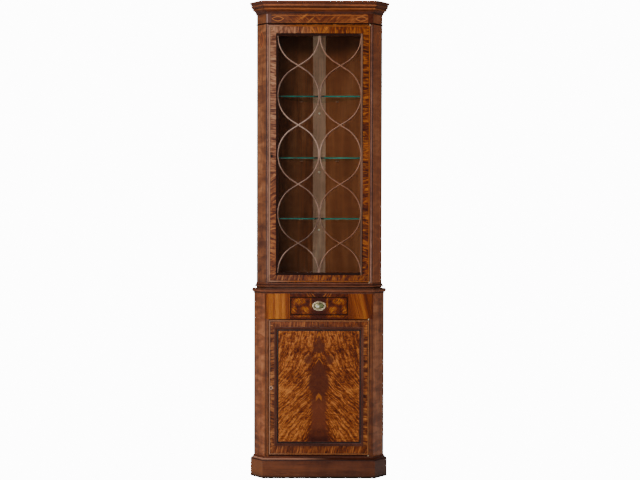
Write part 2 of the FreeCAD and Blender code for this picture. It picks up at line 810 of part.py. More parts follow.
quarter = new_body("tracery_quarter")
path = new_sketch(quarter, "XZ", -lip_y)
turn = (math.pi / 2 - BAR_SLOPE) / 4
tail = s.bar_wide * ROOT2
add_path(path, [
    (cell_wide, cell_high + tail),
    (cell_wide, cell_high, -math.tan(turn)),
    (straight * cosine, straight * sine),
    (-tail * cosine, -tail * sine),
], closed=False)
across = new_sketch(quarter, "XY", cell_high + tail)
add_path(across, [
    (cell_wide - s.bar_wide / 2, lip_y), (cell_wide + s.bar_wide / 2, lip_y),
    (cell_wide + s.bar_nose / 2, bar_front), (cell_wide - s.bar_nose / 2, bar_front),
])
sweep = quarter.newObject("PartDesign::AdditivePipe", "tracery_sweep")
sweep.Profile = across
sweep.Spine = path
far = 2 * tail
cell = rect(0, 0, cell_wide, cell_high)
around = rect(-far, -far, cell_wide + far, cell_high + far)
block(quarter, "XZ", [around, cell], bar_front - s.cut_over, lip_y + s.cut_over, cut=True)


def mirrored(name, source, normal):
    """A piece joined to its mirror image in a plane through the origin."""
    image = doc.addObject("Part::Mirroring", f"{name}_image")
    image.Source = source
    image.Normal = normal
    both = doc.addObject("Part::MultiFuse", name)
    both.Shapes = [source, image]
    return both


bay = mirrored("tracery_bay", mirrored("tracery_half_bay", quarter, Vector(1, 0, 0)), Vector(0, 0, 1))
bays = []
for column in (-1, 1):
    for step in range(BAYS):
        copy = doc.addObject("App::Link", "tracery_bay_copy")
        copy.LinkedObject = bay
        bays.append(place(copy, column * cell_wide, 0, open_low + (2 * step + 1) * cell_high))
tracery = doc.addObject("Part::MultiFuse", "upper_door_tracery")
tracery.Shapes = bays
tracery.Refine = True
node(tracery)
lock(UPPER, up_key_x, up_key_z)


# Lower door: framed panel with a moulding round the sunk field

panel_y = low_y + s.panel_sink
lip_front = panel_y + s.panel_thick
low_back = low_y + s.door_thick
low_open = LOWER.door_half - s.low_door_stile
low_open_z = low_door_z + s.low_door_foot
low_open_top = low_door_top - s.low_door_rail
for label, side in SIDES:
    stile = new_body(f"lower_door_stile_{label}")
    edge, inner = side * LOWER.door_half, side * low_open
    lip = side * (low_open - s.panel_lip)
    section = [(edge, low_y), (inner, low_y), (inner, lip_front), (lip, lip_front), (lip, low_back),
               (edge, low_back)]
    block(stile, "XY", [section], low_door_z, low_door_top)
    if side > 0:
        cut_hinges(stile, LOWER, low_door_z, low_door_top)
    else:
        cut_lock(stile, LOWER, low_key_x, low_key_z)
    node(stile)

for label, inner, edge, way in (("top", low_open_top, low_door_top, 1),
                                ("bottom", low_open_z, low_door_z, -1)):
    rail = new_body(f"lower_door_rail_{label}")
    block(rail, "YZ", [rect(low_y, inner, lip_front, edge)], -low_open, low_open)
    lip = inner - way * s.panel_lip
    lip_half = low_open - s.panel_lip
    block(rail, "YZ", [rect(lip_front, lip, low_back, edge)], -lip_half, lip_half)
    node(rail)

panel = box_of("lower_door_panel", -low_open + s.fit_gap, low_open - s.fit_gap, panel_y, lip_front,
               low_open_z + s.fit_gap, low_open_top - s.fit_gap)
node(panel)

PANEL_SHARES = [
    (0.0, 1.0), (0.0, 0.0), (0.10, 0.0), (0.10, 0.18, 0.34), (0.42, 0.55, -0.30), (0.80, 0.74),
    (0.80, 0.84, 0.30), (1.0, 1.0),
]
panel_section = [(s.panel_trim * point[0], s.panel_sink * point[1]) + tuple(point[2:])
                 for point in PANEL_SHARES]
frame_moulding("lower_door_moulding", low_open, low_open_z, low_open_top, low_y, panel_section)
lock(LOWER, low_key_x, low_key_z)


# Drawer and its pull

face_half = s.drawer_half - s.drawer_gap
face_low = drawer_z + s.drawer_gap
face_high = drawer_z + s.drawer_high - s.drawer_gap
drawer_back = low_y + s.drawer_deep
front_back = low_y + s.drawer_front

front = box_of("drawer_front", -face_half, face_half, low_y, front_back, face_low, face_high)
inner_half = face_half - s.cock_wide
block(front, "XZ", [rect(-face_half, face_low, face_half, face_high),
                    rect(-inner_half, face_low + s.cock_wide, inner_half, face_high - s.cock_wide)],
      low_y - s.cock_out, low_y)
node(front)

inner_half = face_half - s.drawer_side
floor_low = face_low + s.drawer_floor_up
box_sides = [box_of(f"drawer_side_{label}", side * inner_half, side * face_half, front_back,
                    drawer_back, face_low, face_high - s.drawer_side_drop) for label, side in SIDES]
box_floor = box_of("drawer_bottom", -inner_half, inner_half, front_back, drawer_back,
                   floor_low, floor_low + s.drawer_floor)
box_back = box_of("drawer_back", -inner_half, inner_half, drawer_back - s.drawer_side, drawer_back,
                  floor_low + s.drawer_floor, face_high - 2 * s.drawer_side_drop)
group("drawer_box", box_sides + [box_floor, box_back])

# The oval of the backplate and the path of the ring, as shares of half their width and height
PLATE_SHARES = [(0.866, -0.474, 0.399), (0.866, 0.474, 0.431), (-0.866, 0.474, 0.399),
                (-0.866, -0.474, 0.431)]
PULL_SHARES = [
    (0.0, 1.0, 0), (0.197, 1.0, -0.2825), (0.953, 0.294, -0.3298), (0.869, -0.468, -0.403),
    (-0.869, -0.468, -0.3298), (-0.953, 0.294, -0.2825), (-0.197, 1.0, 0),
]
pull_z = (face_low + face_high) / 2
plate_front = low_y - s.plate_thick
ring_y = plate_front - s.plate_dome - s.pull_off - s.pull_wire
post_front = ring_y - s.pull_wire - s.post_nose
pivot_z = pull_z + s.pull_rise

plate = new_body("pull_backplate")
oval = [(s.plate_half * point[0], pull_z + s.plate_rise * point[1], point[2]) for point in PLATE_SHARES]
block(plate, "XZ", [oval], plate_front, low_y)
DOME_SHARE = 0.86
dome = [(s.plate_half * point[0] * DOME_SHARE, pull_z + s.plate_rise * point[1] * DOME_SHARE, point[2])
        for point in PLATE_SHARES]
block(plate, "XZ", [dome], plate_front - s.plate_dome, plate_front)
block(plate, "XZ", [(0, pivot_z, s.post_radius)], post_front, plate_front)
block(plate, "YZ", [(ring_y, pivot_z, s.pull_wire + s.run_gap)], -s.post_radius - s.cut_over,
      s.post_radius + s.cut_over, cut=True)
node(plate)

# The ring's wire has six flats, and is round and a little stouter where it turns in the post
FLATS = 6
WIRE_SHARE = 0.96
pull = new_body("pull_ring")
path = new_sketch(pull, "XZ", -ring_y)
add_path(path, [(s.pull_half * point[0], pull_z + s.pull_rise * point[1], point[2])
                for point in PULL_SHARES])
across = new_sketch(pull, "YZ", None)
flat_turns = [math.pi * (2 * index + 1) / FLATS for index in range(FLATS)]
flat_radius = s.pull_wire * WIRE_SHARE
add_path(across, [(ring_y + flat_radius * math.cos(turn), pivot_z + flat_radius * math.sin(turn))
                  for turn in flat_turns])
sweep = pull.newObject("PartDesign::AdditivePipe", "pull_sweep")
sweep.Profile = across
sweep.Spine = path
sweep.Transition = "Right corner"
pin_half = s.pull_half * PULL_SHARES[1][0]
block(pull, "YZ", [(ring_y, pivot_z, s.pull_wire)], -pin_half, pin_half)
node(pull)


# Checks, then one file for each piece

doc.recompute()
for item in doc.Objects:
    if "Invalid" in item.State or "Error" in item.State:
        raise RuntimeError(f"{item.Name} failed: {item.State}")
    if item.TypeId == "PartDesign::Pocket":
        removed = item.BaseFeature.Shape.Volume - item.Shape.Volume
        if removed <= 0:
            raise RuntimeError(f"{item.Name} cuts nothing")
for item in nodes:
    if item.Shape.isNull() or not item.Shape.isValid():
        raise RuntimeError(f"{item.Label} has no sound shape")

os.makedirs("parts", exist_ok=True)
for item in nodes:
    item.Shape.exportStep(f"parts/{item.Label}.step")
whole = Part.makeCompound([item.Shape for item in nodes]).BoundBox
print(len(nodes), "pieces,", f"x {whole.XMin:.1f} to {whole.XMax:.1f}, y {whole.YMin:.1f} to "
      f"{whole.YMax:.1f}, z {whole.ZMin:.1f} to {whole.ZMax:.1f}")
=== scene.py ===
"""Corner cabinet: the finished look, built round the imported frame."""

import logging
import math
from collections.abc import Callable
from dataclasses import dataclass
from enum import Enum
from functools import reduce

import bmesh
import bpy
import numpy as np
from mathutils import Matrix, Vector


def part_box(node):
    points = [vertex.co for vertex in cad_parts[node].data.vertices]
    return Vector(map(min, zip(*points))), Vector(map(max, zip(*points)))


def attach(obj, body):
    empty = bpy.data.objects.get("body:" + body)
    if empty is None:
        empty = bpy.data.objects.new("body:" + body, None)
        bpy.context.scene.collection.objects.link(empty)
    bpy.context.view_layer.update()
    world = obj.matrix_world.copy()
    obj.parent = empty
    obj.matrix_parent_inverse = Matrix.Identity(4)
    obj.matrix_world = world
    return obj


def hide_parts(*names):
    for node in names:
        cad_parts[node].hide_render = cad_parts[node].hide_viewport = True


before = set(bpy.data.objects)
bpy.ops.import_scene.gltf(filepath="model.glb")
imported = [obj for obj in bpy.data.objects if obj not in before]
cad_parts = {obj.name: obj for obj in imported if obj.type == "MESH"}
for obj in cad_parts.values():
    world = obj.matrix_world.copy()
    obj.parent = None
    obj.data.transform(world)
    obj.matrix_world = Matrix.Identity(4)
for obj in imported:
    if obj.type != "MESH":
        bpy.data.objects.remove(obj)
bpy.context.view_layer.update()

LOG = logging.getLogger("corner_cabinet")

Colour = tuple[float, float, float]
Point = tuple[float, float, float]
Corner = tuple[float, ...]
Stops = tuple[tuple[float, float], ...]
Material = bpy.types.Material
Socket = bpy.types.NodeSocket
Piece = bpy.types.Object

MM = 0.001
MITRE_SLOPE = math.tan(math.pi / 8.0)
CANT_SLOPE = math.sqrt(0.5)


# Sizes that shapes and finishes share, in millimetres

@dataclass(frozen=True)
class CasePlan:
    """The plan of a case's front: a flat front and a cant at 45 degrees each side."""

    half: float
    cant_x: float
    cant_y: float
    face: float


LOWER = CasePlan(half=226.0, cant_x=273.5, cant_y=-85.5, face=-133.0)
UPPER = CasePlan(half=221.5, cant_x=263.5, cant_y=-75.5, face=-117.5)
DRAWER_MIDDLE_Z = 717.75
PLATE_HALF_X = 28.5
PLATE_HALF_Z = 20.25


# Numbers that vary over a surface

def linear(colour: Colour) -> tuple[float, float, float, float]:
    """Turns a colour of 0 to 255 parts, as a screen shows it, into the shader's own scale.

    Args:
        colour: red, green and blue, 0 to 255.

    Returns:
        Red, green, blue and an alpha of one.
    """
    parts = np.asarray(colour, float) / 255.0
    low = parts / 12.92
    high = ((parts + 0.055) / 1.055) ** 2.4
    red, green, blue = np.where(parts <= 0.04045, low, high)
    return float(red), float(green), float(blue), 1.0


def step(operation: str, turned_round: bool = False) -> Callable[..., "Number"]:
    """Makes a method of Number that does one step of arithmetic.

    Args:
        operation: what the step does.
        turned_round: True if the number itself comes last.

    Returns:
        The method.
    """
    def method(self: "Number", *others: "Value") -> "Number":
        """The step's result."""
        values = (*others, self) if turned_round else (self, *others)
        return self.graph.math(operation, *values)
    return method


class Number:
    """A number that varies over a surface, so that a pattern is written as a formula."""

    def __init__(self, graph: "Graph", socket: Socket) -> None:
        """Keeps the socket that gives the number and the graph it belongs to."""
        self.graph = graph
        self.socket = socket

    __add__, __radd__ = step("ADD"), step("ADD", True)
    __sub__, __rsub__ = step("SUBTRACT"), step("SUBTRACT", True)
    __mul__, __rmul__ = step("MULTIPLY"), step("MULTIPLY", True)
    __truediv__ = step("DIVIDE")
    __abs__ = step("ABSOLUTE")
    floor = step("FLOOR")
    most = step("MAXIMUM")
    above = step("GREATER_THAN")

    def rise(self, low: float, high: float) -> "Number":
        """A smooth step.

        Args:
            low: where it is zero.
            high: where it is one.

        Returns:
            The step.
        """
        node = self.graph.node("ShaderNodeMapRange", interpolation_type="SMOOTHSTEP")
        self.graph.feed(self, node.inputs["Value"])
        node.inputs["From Min"].default_value = low
        node.inputs["From Max"].default_value = high
        return Number(self.graph, node.outputs["Result"])

    def fall(self, low: float, high: float) -> "Number":
        """A smooth step from one at low to zero at high."""
        return 1.0 - self.rise(low, high)

    def near(self, middle: float, half: float, soft: float) -> "Number":
        """One within half of the middle, fading to zero over soft on each side."""
        return abs(self - middle).fall(half, half + soft)

    def between(self, low: float, high: float, soft: float) -> "Number":
        """One from low to high, fading to zero over soft on each side."""
        return self.near((low + high) / 2.0, (high - low) / 2.0, soft)


Value = Number | float


class Graph:
    """Writes one material's nodes."""

    def __init__(self, name: str) -> None:
        """Starts an empty material.

        Args:
            name: the material's name.
        """
        self.material = bpy.data.materials.new(name)
        self.material.use_nodes = True
        self.tree = self.material.node_tree
        self.tree.nodes.clear()

    def node(self, kind: str, **settings: object) -> bpy.types.Node:
        """Adds a node and sets its options.

        Args:
            kind: the node's type.
            settings: its options, by name.

        Returns:
            The node.
        """
        made = self.tree.nodes.new(kind)
        for key, value in settings.items():
            setattr(made, key, value)
        return made

    def feed(self, value: object, socket: Socket) -> None:
        """Gives a socket a number, a colour, or what another node gives.

        Args:
            value: what the socket gets.
            socket: the socket.
        """
        if isinstance(value, Number):
            value = value.socket
        if isinstance(value, Socket):
            self.tree.links.new(value, socket)
        elif isinstance(value, tuple):
            socket.default_value = linear(value)
        else:
            socket.default_value = value

    def math(self, operation: str, *values: Value) -> Number:
        """One step of arithmetic.

        Args:
            operation: what the step does.
            values: the numbers it does it to.

        Returns:
            The result.
        """
        made = self.node("ShaderNodeMath", operation=operation)
        for value, socket in zip(values, made.inputs):
            self.feed(value, socket)
        return Number(self, made.outputs["Value"])

    def place(self) -> tuple[Number, Number, Number]:
        """Where the surface is, in metres, in the cabinet's own frame."""
        source = self.node("ShaderNodeTexCoord")
        parts = self.node("ShaderNodeSeparateXYZ")
        self.tree.links.new(source.outputs["Object"], parts.inputs["Vector"])
        return tuple(Number(self, parts.outputs[axis]) for axis in "XYZ")

    def laid(self) -> tuple[Number, Number]:
        """How far along and across its run a surface is, in metres, from the piece's own map."""
        source = self.node("ShaderNodeUVMap", uv_map="run")
        parts = self.node("ShaderNodeSeparateXYZ")
        self.tree.links.new(source.outputs["UV"], parts.inputs["Vector"])
        return Number(self, parts.outputs["X"]), Number(self, parts.outputs["Y"])

    def kept(self, name: str) -> Number:
        """A number stored on the piece's points."""
        source = self.node("ShaderNodeAttribute", attribute_name=name)
        return Number(self, source.outputs["Fac"])

    def noise(self, x: Value, y: Value, z: Value, detail: float = 3.0, rough: float = 0.55,
              twist: float = 0.0) -> Number:
        """Cloudy noise of mean one half, whose clouds are one unit across. A place in metres times a
        number has that many clouds to a metre, so the clouds are long where the number is small.

        Args:
            x: where, on the first axis.
            y: where, on the second axis.
            z: where, on the third axis.
            detail: how many finer layers are laid on top.
            rough: how much of each finer layer there is.
            twist: how far the clouds are pulled out of shape.

        Returns:
            The noise.
        """
        where = self.node("ShaderNodeCombineXYZ")
        for value, socket in zip((x, y, z), where.inputs):
            self.feed(value, socket)
        made = self.node("ShaderNodeTexNoise", noise_dimensions="3D")
        self.tree.links.new(where.outputs["Vector"], made.inputs["Vector"])
        made.inputs["Scale"].default_value = 1.0
        made.inputs["Detail"].default_value = detail
        made.inputs["Roughness"].default_value = rough
        made.inputs["Distortion"].default_value = twist
        return Number(self, made.outputs["Fac"])

    def mix(self, share: Value, first: object, second: object) -> Socket:
        """A colour between two others.

        Args:
            share: how much of the second.
            first: the colour at share zero.
            second: the colour at share one.

        Returns:
            The colour.
        """
        made = self.node("ShaderNodeMix", data_type="RGBA")
        self.feed(share, made.inputs[0])
        self.feed(first, made.inputs[6])
        self.feed(second, made.inputs[7])
        return made.outputs[2]

    def ramp(self, share: Value, stops: list[tuple[float, Colour]]) -> Socket:
        """A colour that goes through the stops as the share goes from zero to one."""
        return self.scale(share, [(at, linear(colour)) for at, colour in stops])

    def level(self, number: Number, stops: Stops) -> Number:
        """A number, zero to one, that goes straight from stop to stop as another grows.

        Args:
            number: what it depends on.
            stops: where, and how much there.

        Returns:
            The number.
        """
        first, reach = stops[0][0], stops[-1][0] - stops[0][0]
        greys = [((at - first) / reach, (value, value, value, 1.0)) for at, value in stops]
        return Number(self, self.scale((number - first) / reach, greys))

    def scale(self, share: Value, stops: list[tuple[float, tuple[float, ...]]]) -> Socket:
        """A scale that goes straight from stop to stop.

        Args:
            share: the place on the scale, from zero to one.
            stops: where, and the shader's own colour there.

        Returns:
            The colour.
        """
        made = self.node("ShaderNodeValToRGB")
        self.feed(share, made.inputs["Fac"])
        elements = made.color_ramp.elements
        while len(elements) < len(stops):
            elements.new(1.0)
        for element, (at, colour) in zip(elements, stops):
            element.position = at
            element.color = colour
        return made.outputs["Color"]

    def on_core(self, veneer: Socket, face: float) -> Socket:
        """Veneer on the front of a board only: its edges and back show the straight-grained core.

        Args:
            veneer: the colour on the face.
            face: the y of the face, in metres.

        Returns:
            The colour.
        """
        x, y, z = self.place()
        grain = self.noise(x * 150.0, y * 150.0, z * 7.0, 3.0, 0.6)
        core = self.ramp(grain, [(0.3, (92, 44, 24)), (0.7, (140, 78, 46))])
        return self.mix(y.rise(face + 0.0010, face + 0.0016), veneer, core)

    def close(self, colour: object, roughness: Value, height: Number | None = None,
              depth: float = 0.0002, **sockets: float) -> Material:
        """Ends the material in one shader.

        Args:
            colour: the surface's colour.
            roughness: how much it scatters what it mirrors.
            height: the relief, zero to one, or None.
            depth: the relief's depth in metres.
            sockets: the shader's own uniform numbers, by name with underscores.

        Returns:
            The finished material.
        """
        shader = self.node("ShaderNodeBsdfPrincipled")
        self.feed(colour, shader.inputs["Base Color"])
        self.feed(roughness, shader.inputs["Roughness"])
        for key, value in sockets.items():
            shader.inputs[key.replace("_", " ")].default_value = value
        if height is not None:
            bump = self.node("ShaderNodeBump")
            bump.inputs["Distance"].default_value = depth
            bump.inputs["Strength"].default_value = 1.0
            self.feed(height, bump.inputs["Height"])
            self.tree.links.new(bump.outputs["Normal"], shader.inputs["Normal"])
        return self.end(shader.outputs["BSDF"])

    def blend(self, share: object, first: Socket, second: Socket) -> Socket:
        """A shader between two others.

        Args:
            share: how much of the second.
            first: the shader at share zero.
            second: the shader at share one.

        Returns:
            The shader.
        """
        made = self.node("ShaderNodeMixShader")
        for value, socket in zip((share, first, second), made.inputs):
            self.feed(value, socket)
        return made.outputs["Shader"]

    def end(self, shader: Socket) -> Material:
        """Gives the surface its shader and hands over the material."""
        self.feed(shader, self.node("ShaderNodeOutputMaterial").inputs["Surface"])
        return self.material


# Finishes

class Grain(Enum):
    """Which way a timber's grain runs."""

    UPRIGHT = "upright"
    LEVEL = "level"
    ALONG_RUN = "along_run"


# The darkest marks in the timbers, painted shade among them

PORE = (24, 10, 5)
# Painted shade for the hollows of a moulding
HOLLOW_SHADE = (16, 6, 4)
# Painted contact shadow along the plinth's foot
CONTACT_SHADOW = (18, 9, 6)


@dataclass(frozen=True)
class Timber:
    """A polished timber: dark streaks over a ground that drifts between two tones.

    The ground is slow noise drawn out along the grain. Streaks are finer noise drawn out more, and
    pores are the finest. A ripple across the grain gives the sheen of mottled stock. On a moulding,
    parts are lighter and darker at the heights given, as painted highlights on lit edges and painted
    shade in hollows. Exposed edges may be lighter, partly by rubbing and partly as painted
    highlight, and hollows darker, as painted shade.
    """

    name: str
    dark: Colour
    ground: Colour
    light: Colour
    grain: Grain = Grain.UPRIGHT
    mottle: float = 0.35
    streak: float = 0.5
    roughness: float = 0.34
    coat: float = 0.1
    gloss: float = 0.3
    edge_rubbing_and_light: float = 0.0
    lit_and_shaded_heights: Stops = ()
    lit_and_shaded_share: float = 0.7

    def build(self) -> Material:
        """Makes the material."""
        g = Graph(self.name)
        along, across, third = self.directions(g)
        ground = g.noise(along * 2.2, across * 16.0, third * 16.0, 3.0, 0.6, 0.6)
        streak = g.noise(along * 5.0, across * 150.0, third * 150.0, 4.0, 0.6)
        ripple = g.noise(along * 34.0, across * 15.0, third * 15.0, 2.0, 0.5, 0.8)
        pore = g.noise(along * 60.0, across * 1400.0, third * 1400.0, 2.0, 0.6)
        tone = ground.rise(0.28, 0.72) * (1.0 - self.mottle) + ripple.rise(0.3, 0.7) * self.mottle
        # Painted light and shade by height: lit parts of a moulding lighter, shaded hollows darker
        if self.lit_and_shaded_heights:
            lit_and_shaded = g.level(g.place()[2], self.lit_and_shaded_heights)
            tone = tone * (1.0 - self.lit_and_shaded_share) + lit_and_shaded * self.lit_and_shaded_share
        colour = g.ramp(tone, [(0.0, self.dark), (0.5, self.ground), (1.0, self.light)])
        lines = streak.fall(0.34, 0.56) * self.streak
        colour = g.mix(lines, colour, self.dark)
        pores = pore.fall(0.30, 0.42) * 0.35
        colour = g.mix(pores, colour, PORE)
        # Exposed edges lighter, partly rubbing and partly painted highlight; hollows darker, painted
        # shade
        if self.edge_rubbing_and_light > 0.0:
            wear = g.kept("wear")
            colour = g.mix(wear.rise(0.1, 0.8) * self.edge_rubbing_and_light, colour, self.light)
            colour = g.mix((0.0 - wear).rise(0.05, 0.6) * self.edge_rubbing_and_light * 1.3, colour, HOLLOW_SHADE)
        colour = self.trimmed(g, colour)
        rough = self.roughness + streak * 0.08 - ripple * 0.05
        height = 1.0 - pores - lines * 0.4
        return g.close(colour, rough, height, 0.00012, Coat_Weight=self.coat, Coat_Roughness=0.16,
                       Specular_IOR_Level=self.gloss)

    def trimmed(self, g: Graph, colour: Socket) -> Socket:
        """The colour with any lines or inlay on top. Plain timber has none."""
        return colour

    def directions(self, g: Graph) -> tuple[Value, Value, Value]:
        """Where the surface is, as the grain runs.

        Args:
            g: the material's graph.

        Returns:
            The coordinates along the grain and across it twice.
        """
        if self.grain is Grain.ALONG_RUN:
            along, across = g.laid()
            return along, across, 0.0
        x, y, z = g.place()
        if self.grain is Grain.UPRIGHT:
            return z, x, y
        return x, z, y * 0.4


@dataclass(frozen=True)
class StileTimber(Timber):
    """A case stile: a dark line runs down the corner where it meets the cant."""

    line_from: float = 0.0
    line_to: float = 1.0
    line_share: float = 0.9
    line_soft: float = 0.0006
    line_colour: Colour = (38, 14, 9)

    def trimmed(self, g: Graph, colour: Socket) -> Socket:
        """Darkens the strip between the two distances from the middle line."""
        line = abs(g.place()[0]).between(self.line_from, self.line_to, self.line_soft)
        return g.mix(line * self.line_share, colour, self.line_colour)


def pointed_oval(across: Number, along: Number, half: float, reach: float) -> Number:
    """Below zero inside a pointed oval and zero on its outline: the distance from the long axis, in
    shares of the half width, plus the square of the distance along it, in shares of its reach, less
    one."""
    along_share = along / reach
    return abs(across) / half + along_share * along_share - 1.0


@dataclass(frozen=True)
class CantTimber(Timber):
    """A canted corner: dark lines down both its edges and an inlaid pointed oval near its top. The
    right cant leans towards a colour of its own."""

    plan: CasePlan = UPPER
    corner_in: float = 0.0
    line_share: float = 0.85
    line_colour: Colour = (44, 26, 22)
    right: Colour = (128, 94, 80)
    right_share: float = 0.0
    inlay_z: float = 9.0
    inlay_half: float = 0.0125
    inlay_tall: float = 0.033
    inlay_ground: Colour = (148, 66, 36)
    inlay_rim: Colour = (206, 112, 58)

    def trimmed(self, g: Graph, colour: Socket) -> Socket:
        """Adds the lines and the inlay."""
        plan = self.plan
        corner_x, edge_x = plan.half * MM - self.corner_in, plan.cant_x * MM
        middle_x, middle_y = (plan.half + plan.cant_x) / 2.0, (plan.face + plan.cant_y) / 2.0
        x, y, z = g.place()
        u = abs(x)
        line = u.fall(corner_x + 0.0012, corner_x + 0.0024) * self.line_share
        edge = u.rise(edge_x - 0.0050, edge_x - 0.0028) * 0.85
        colour = g.mix(x.above(0.0) * self.right_share, colour, self.right)
        colour = g.mix(line.most(edge), colour, self.line_colour)
        sideways = ((u - middle_x * MM) + (y - middle_y * MM)) * CANT_SLOPE
        leaf = pointed_oval(sideways, z - self.inlay_z, self.inlay_half, self.inlay_tall)
        colour = g.mix(leaf.fall(-0.1, 0.0) * 0.3, colour, self.inlay_ground)
        return g.mix(leaf.near(0.0, 0.10, 0.08) * 0.75, colour, self.inlay_rim)


@dataclass(frozen=True)
class BackTimber(Timber):
    """The case's back boards, with painted light and shade: the right board is the redder and
    lighter, and the left board darkens towards its front edge; both are dark at the top, a painted
    shade.

    The boards stand at 45 degrees, so a point lies on their inner faces where its distance from the
    middle line plus its y is no more than that of the wall.
    """

    wall: float = 0.1739
    # Painted shade at the top of the boards, between these heights
    top_shade_from: float = 1.765
    top_shade_to: float = 1.835
    red: Colour = (164, 84, 46)
    top_shade: Colour = (58, 30, 20)
    shade: Colour = (66, 38, 30)

    def trimmed(self, g: Graph, colour: Socket) -> Socket:
        """Paints light on the right board and shade at the top and on the left board."""
        x, y, z = g.place()
        # Painted light: the right board redder and lighter
        colour = g.mix(x.rise(0.0, 0.03) * 0.45, colour, self.red)
        within = (abs(x) + y).fall(self.wall + 0.002, self.wall + 0.010)
        # Painted shade at the top
        colour = g.mix(z.rise(self.top_shade_from, self.top_shade_to) * within * 0.7, colour, self.top_shade)
        # Painted shade on the left board towards its front edge
        return g.mix(x.fall(-0.19, -0.05) * within * 0.75, colour, self.shade)


@dataclass(frozen=True)
class CornerTimber(Timber):
    """The narrow board across the case's corner: bleached inside and brown behind."""

    back_y: float = 0.151
    brown: Colour = (128, 76, 50)

    def trimmed(self, g: Graph, colour: Socket) -> Socket:
        """Browns the back."""
        back = g.place()[1].rise(self.back_y, self.back_y + 0.002)
        return g.mix(back * 0.75, colour, self.brown)


def past_mitre(x: Number, y: Number, plan: CasePlan) -> Number:
    """How far a place lies sideways past the mitre at a front corner: above zero over the cant. The
    mitre starts at the corner and goes outwards at 22.5 degrees from straight ahead."""
    return abs(x) - plan.half * MM + (y - plan.face * MM) * MITRE_SLOPE


@dataclass(frozen=True)
class PlinthTimber(Timber):
    """The plinth: painted light at its top left, painted shade at its right, darker towards its foot
    and a painted contact shadow, black, along its foot. Its left cant is of a lighter board and its
    right cant of a greyer one."""

    left_cant: Colour = (176, 108, 64)
    right_cant: Colour = (124, 98, 88)
    # Painted light at the top left
    left_light: Colour = (156, 92, 58)
    shade: Colour = (62, 30, 16)
    foot: Colour = (52, 28, 20)

    def trimmed(self, g: Graph, colour: Socket) -> Socket:
        """Tells the cants apart, paints light on the top left and shade on the right, and darkens
        the foot.
        """
        x, y, z = g.place()
        cant = past_mitre(x, y, LOWER).above(0.0)
        colour = g.mix(cant * 0.6, colour, g.mix(x.above(0.0), self.left_cant, self.right_cant))
        # Painted light at the top left
        colour = g.mix(z.rise(0.030, 0.052) * x.fall(-0.16, -0.04) * 0.35, colour, self.left_light)
        # Painted shade at the right
        colour = g.mix(x.rise(-0.10, 0.05) * 0.25, colour, self.shade)
        # Darker towards the bottom
        colour = g.mix(z.fall(0.004, 0.030) * 0.45, colour, self.foot)
        # Painted contact shadow along the foot
        return g.mix(z.fall(0.0060, 0.0090) * 0.9, colour, CONTACT_SHADOW)


@dataclass(frozen=True)
class RunTimber(Timber):
    """The plain mouldings. The plinth's has a painted highlight, a pale line, along the left of its
    front and painted shade at its right."""

    plinth_top: float = 0.092
    # The painted highlight's height and colour
    highlight_z: float = 0.0806
    painted_light: Colour = (226, 164, 132)

    def trimmed(self, g: Graph, colour: Socket) -> Socket:
        """Paints shade on the plinth's right half and adds the highlight line."""
        x, _, z = g.place()
        # Painted shade on the right of the plinth moulding
        dull = z.fall(self.plinth_top, self.plinth_top + 0.002) * x.rise(-0.16, -0.02)
        colour = g.mix(dull * 0.55, colour, self.dark)
        # Painted highlight along the left of the plinth moulding
        painted_light = z.near(self.highlight_z, 0.0015, 0.0008) * x.fall(-0.10, 0.06)
        return g.mix(painted_light * 0.9, colour, self.painted_light)


@dataclass(frozen=True)
class CorniceTimber(Timber):
    """The cornice: painted shade makes its runs over the cants darker than its front."""

    cant: Colour = (92, 60, 50)
    joint: Colour = (30, 12, 8)

    def trimmed(self, g: Graph, colour: Socket) -> Socket:
        """Paints shade on the runs over the cants and darkens the joint itself."""
        x, y, _ = g.place()
        past = past_mitre(x, y, UPPER)
        # Painted shade over the cants
        colour = g.mix(past.above(0.0) * 0.5, colour, self.cant)
        return g.mix(past.near(0.0, 0.0008, 0.0008) * 0.5, colour, self.joint)


@dataclass(frozen=True)
class BeadTimber(Timber):
    """The bead round the glass: dark, a painted shade, with painted light down its right side."""

    right_x: float = 0.160
    # The painted highlight's strip
    highlight_from: float = 0.1718
    highlight_to: float = 0.1782

    def trimmed(self, g: Graph, colour: Socket) -> Socket:
        """Paints light on the right side and leaves the other three dark, a painted shade."""
        x, _, z = g.place()
        # Painted light on the right side
        colour = g.mix(x.fall(self.right_x, self.right_x + 0.006), colour, self.ground)
        # Painted highlight strip, stronger towards the top
        painted_light = x.between(self.highlight_from, self.highlight_to, 0.0007)
        return g.mix(painted_light * (0.55 + z.rise(1.2, 1.7) * 0.4), colour, self.light)


@dataclass(frozen=True)
class BarTimber(Timber):
    """A glazing bar: one flank is dark, a painted shade, and the nose and the other flank are light.
    Bars to the right are browner and their dark flanks darker, also painted shade."""

    # Where the painted shade on the first flank ends, round the section
    shade_to: float = 0.0066
    brown: Colour = (192, 124, 84)

    def trimmed(self, g: Graph, colour: Socket) -> Socket:
        """Paints shade on the flank that comes first round the section, and on the bars to the
        right.
        """
        right = g.place()[0].rise(0.0, 0.03)
        # Painted shade: bars to the right browner
        colour = g.mix(right * 0.6, colour, self.brown)
        # Painted shade on one flank, deeper to the right
        flank = g.laid()[1].fall(self.shade_to - 0.0008, self.shade_to)
        return g.mix(flank * (0.3 + right * 0.55), colour, self.dark)


def past_frame(x: Number, z: Number, half: float, low: float, high: float) -> Number:
    """How far a place lies outside an upright rectangle: the most of the three distances."""
    return (abs(x) - half).most((z - high).most(low - z))


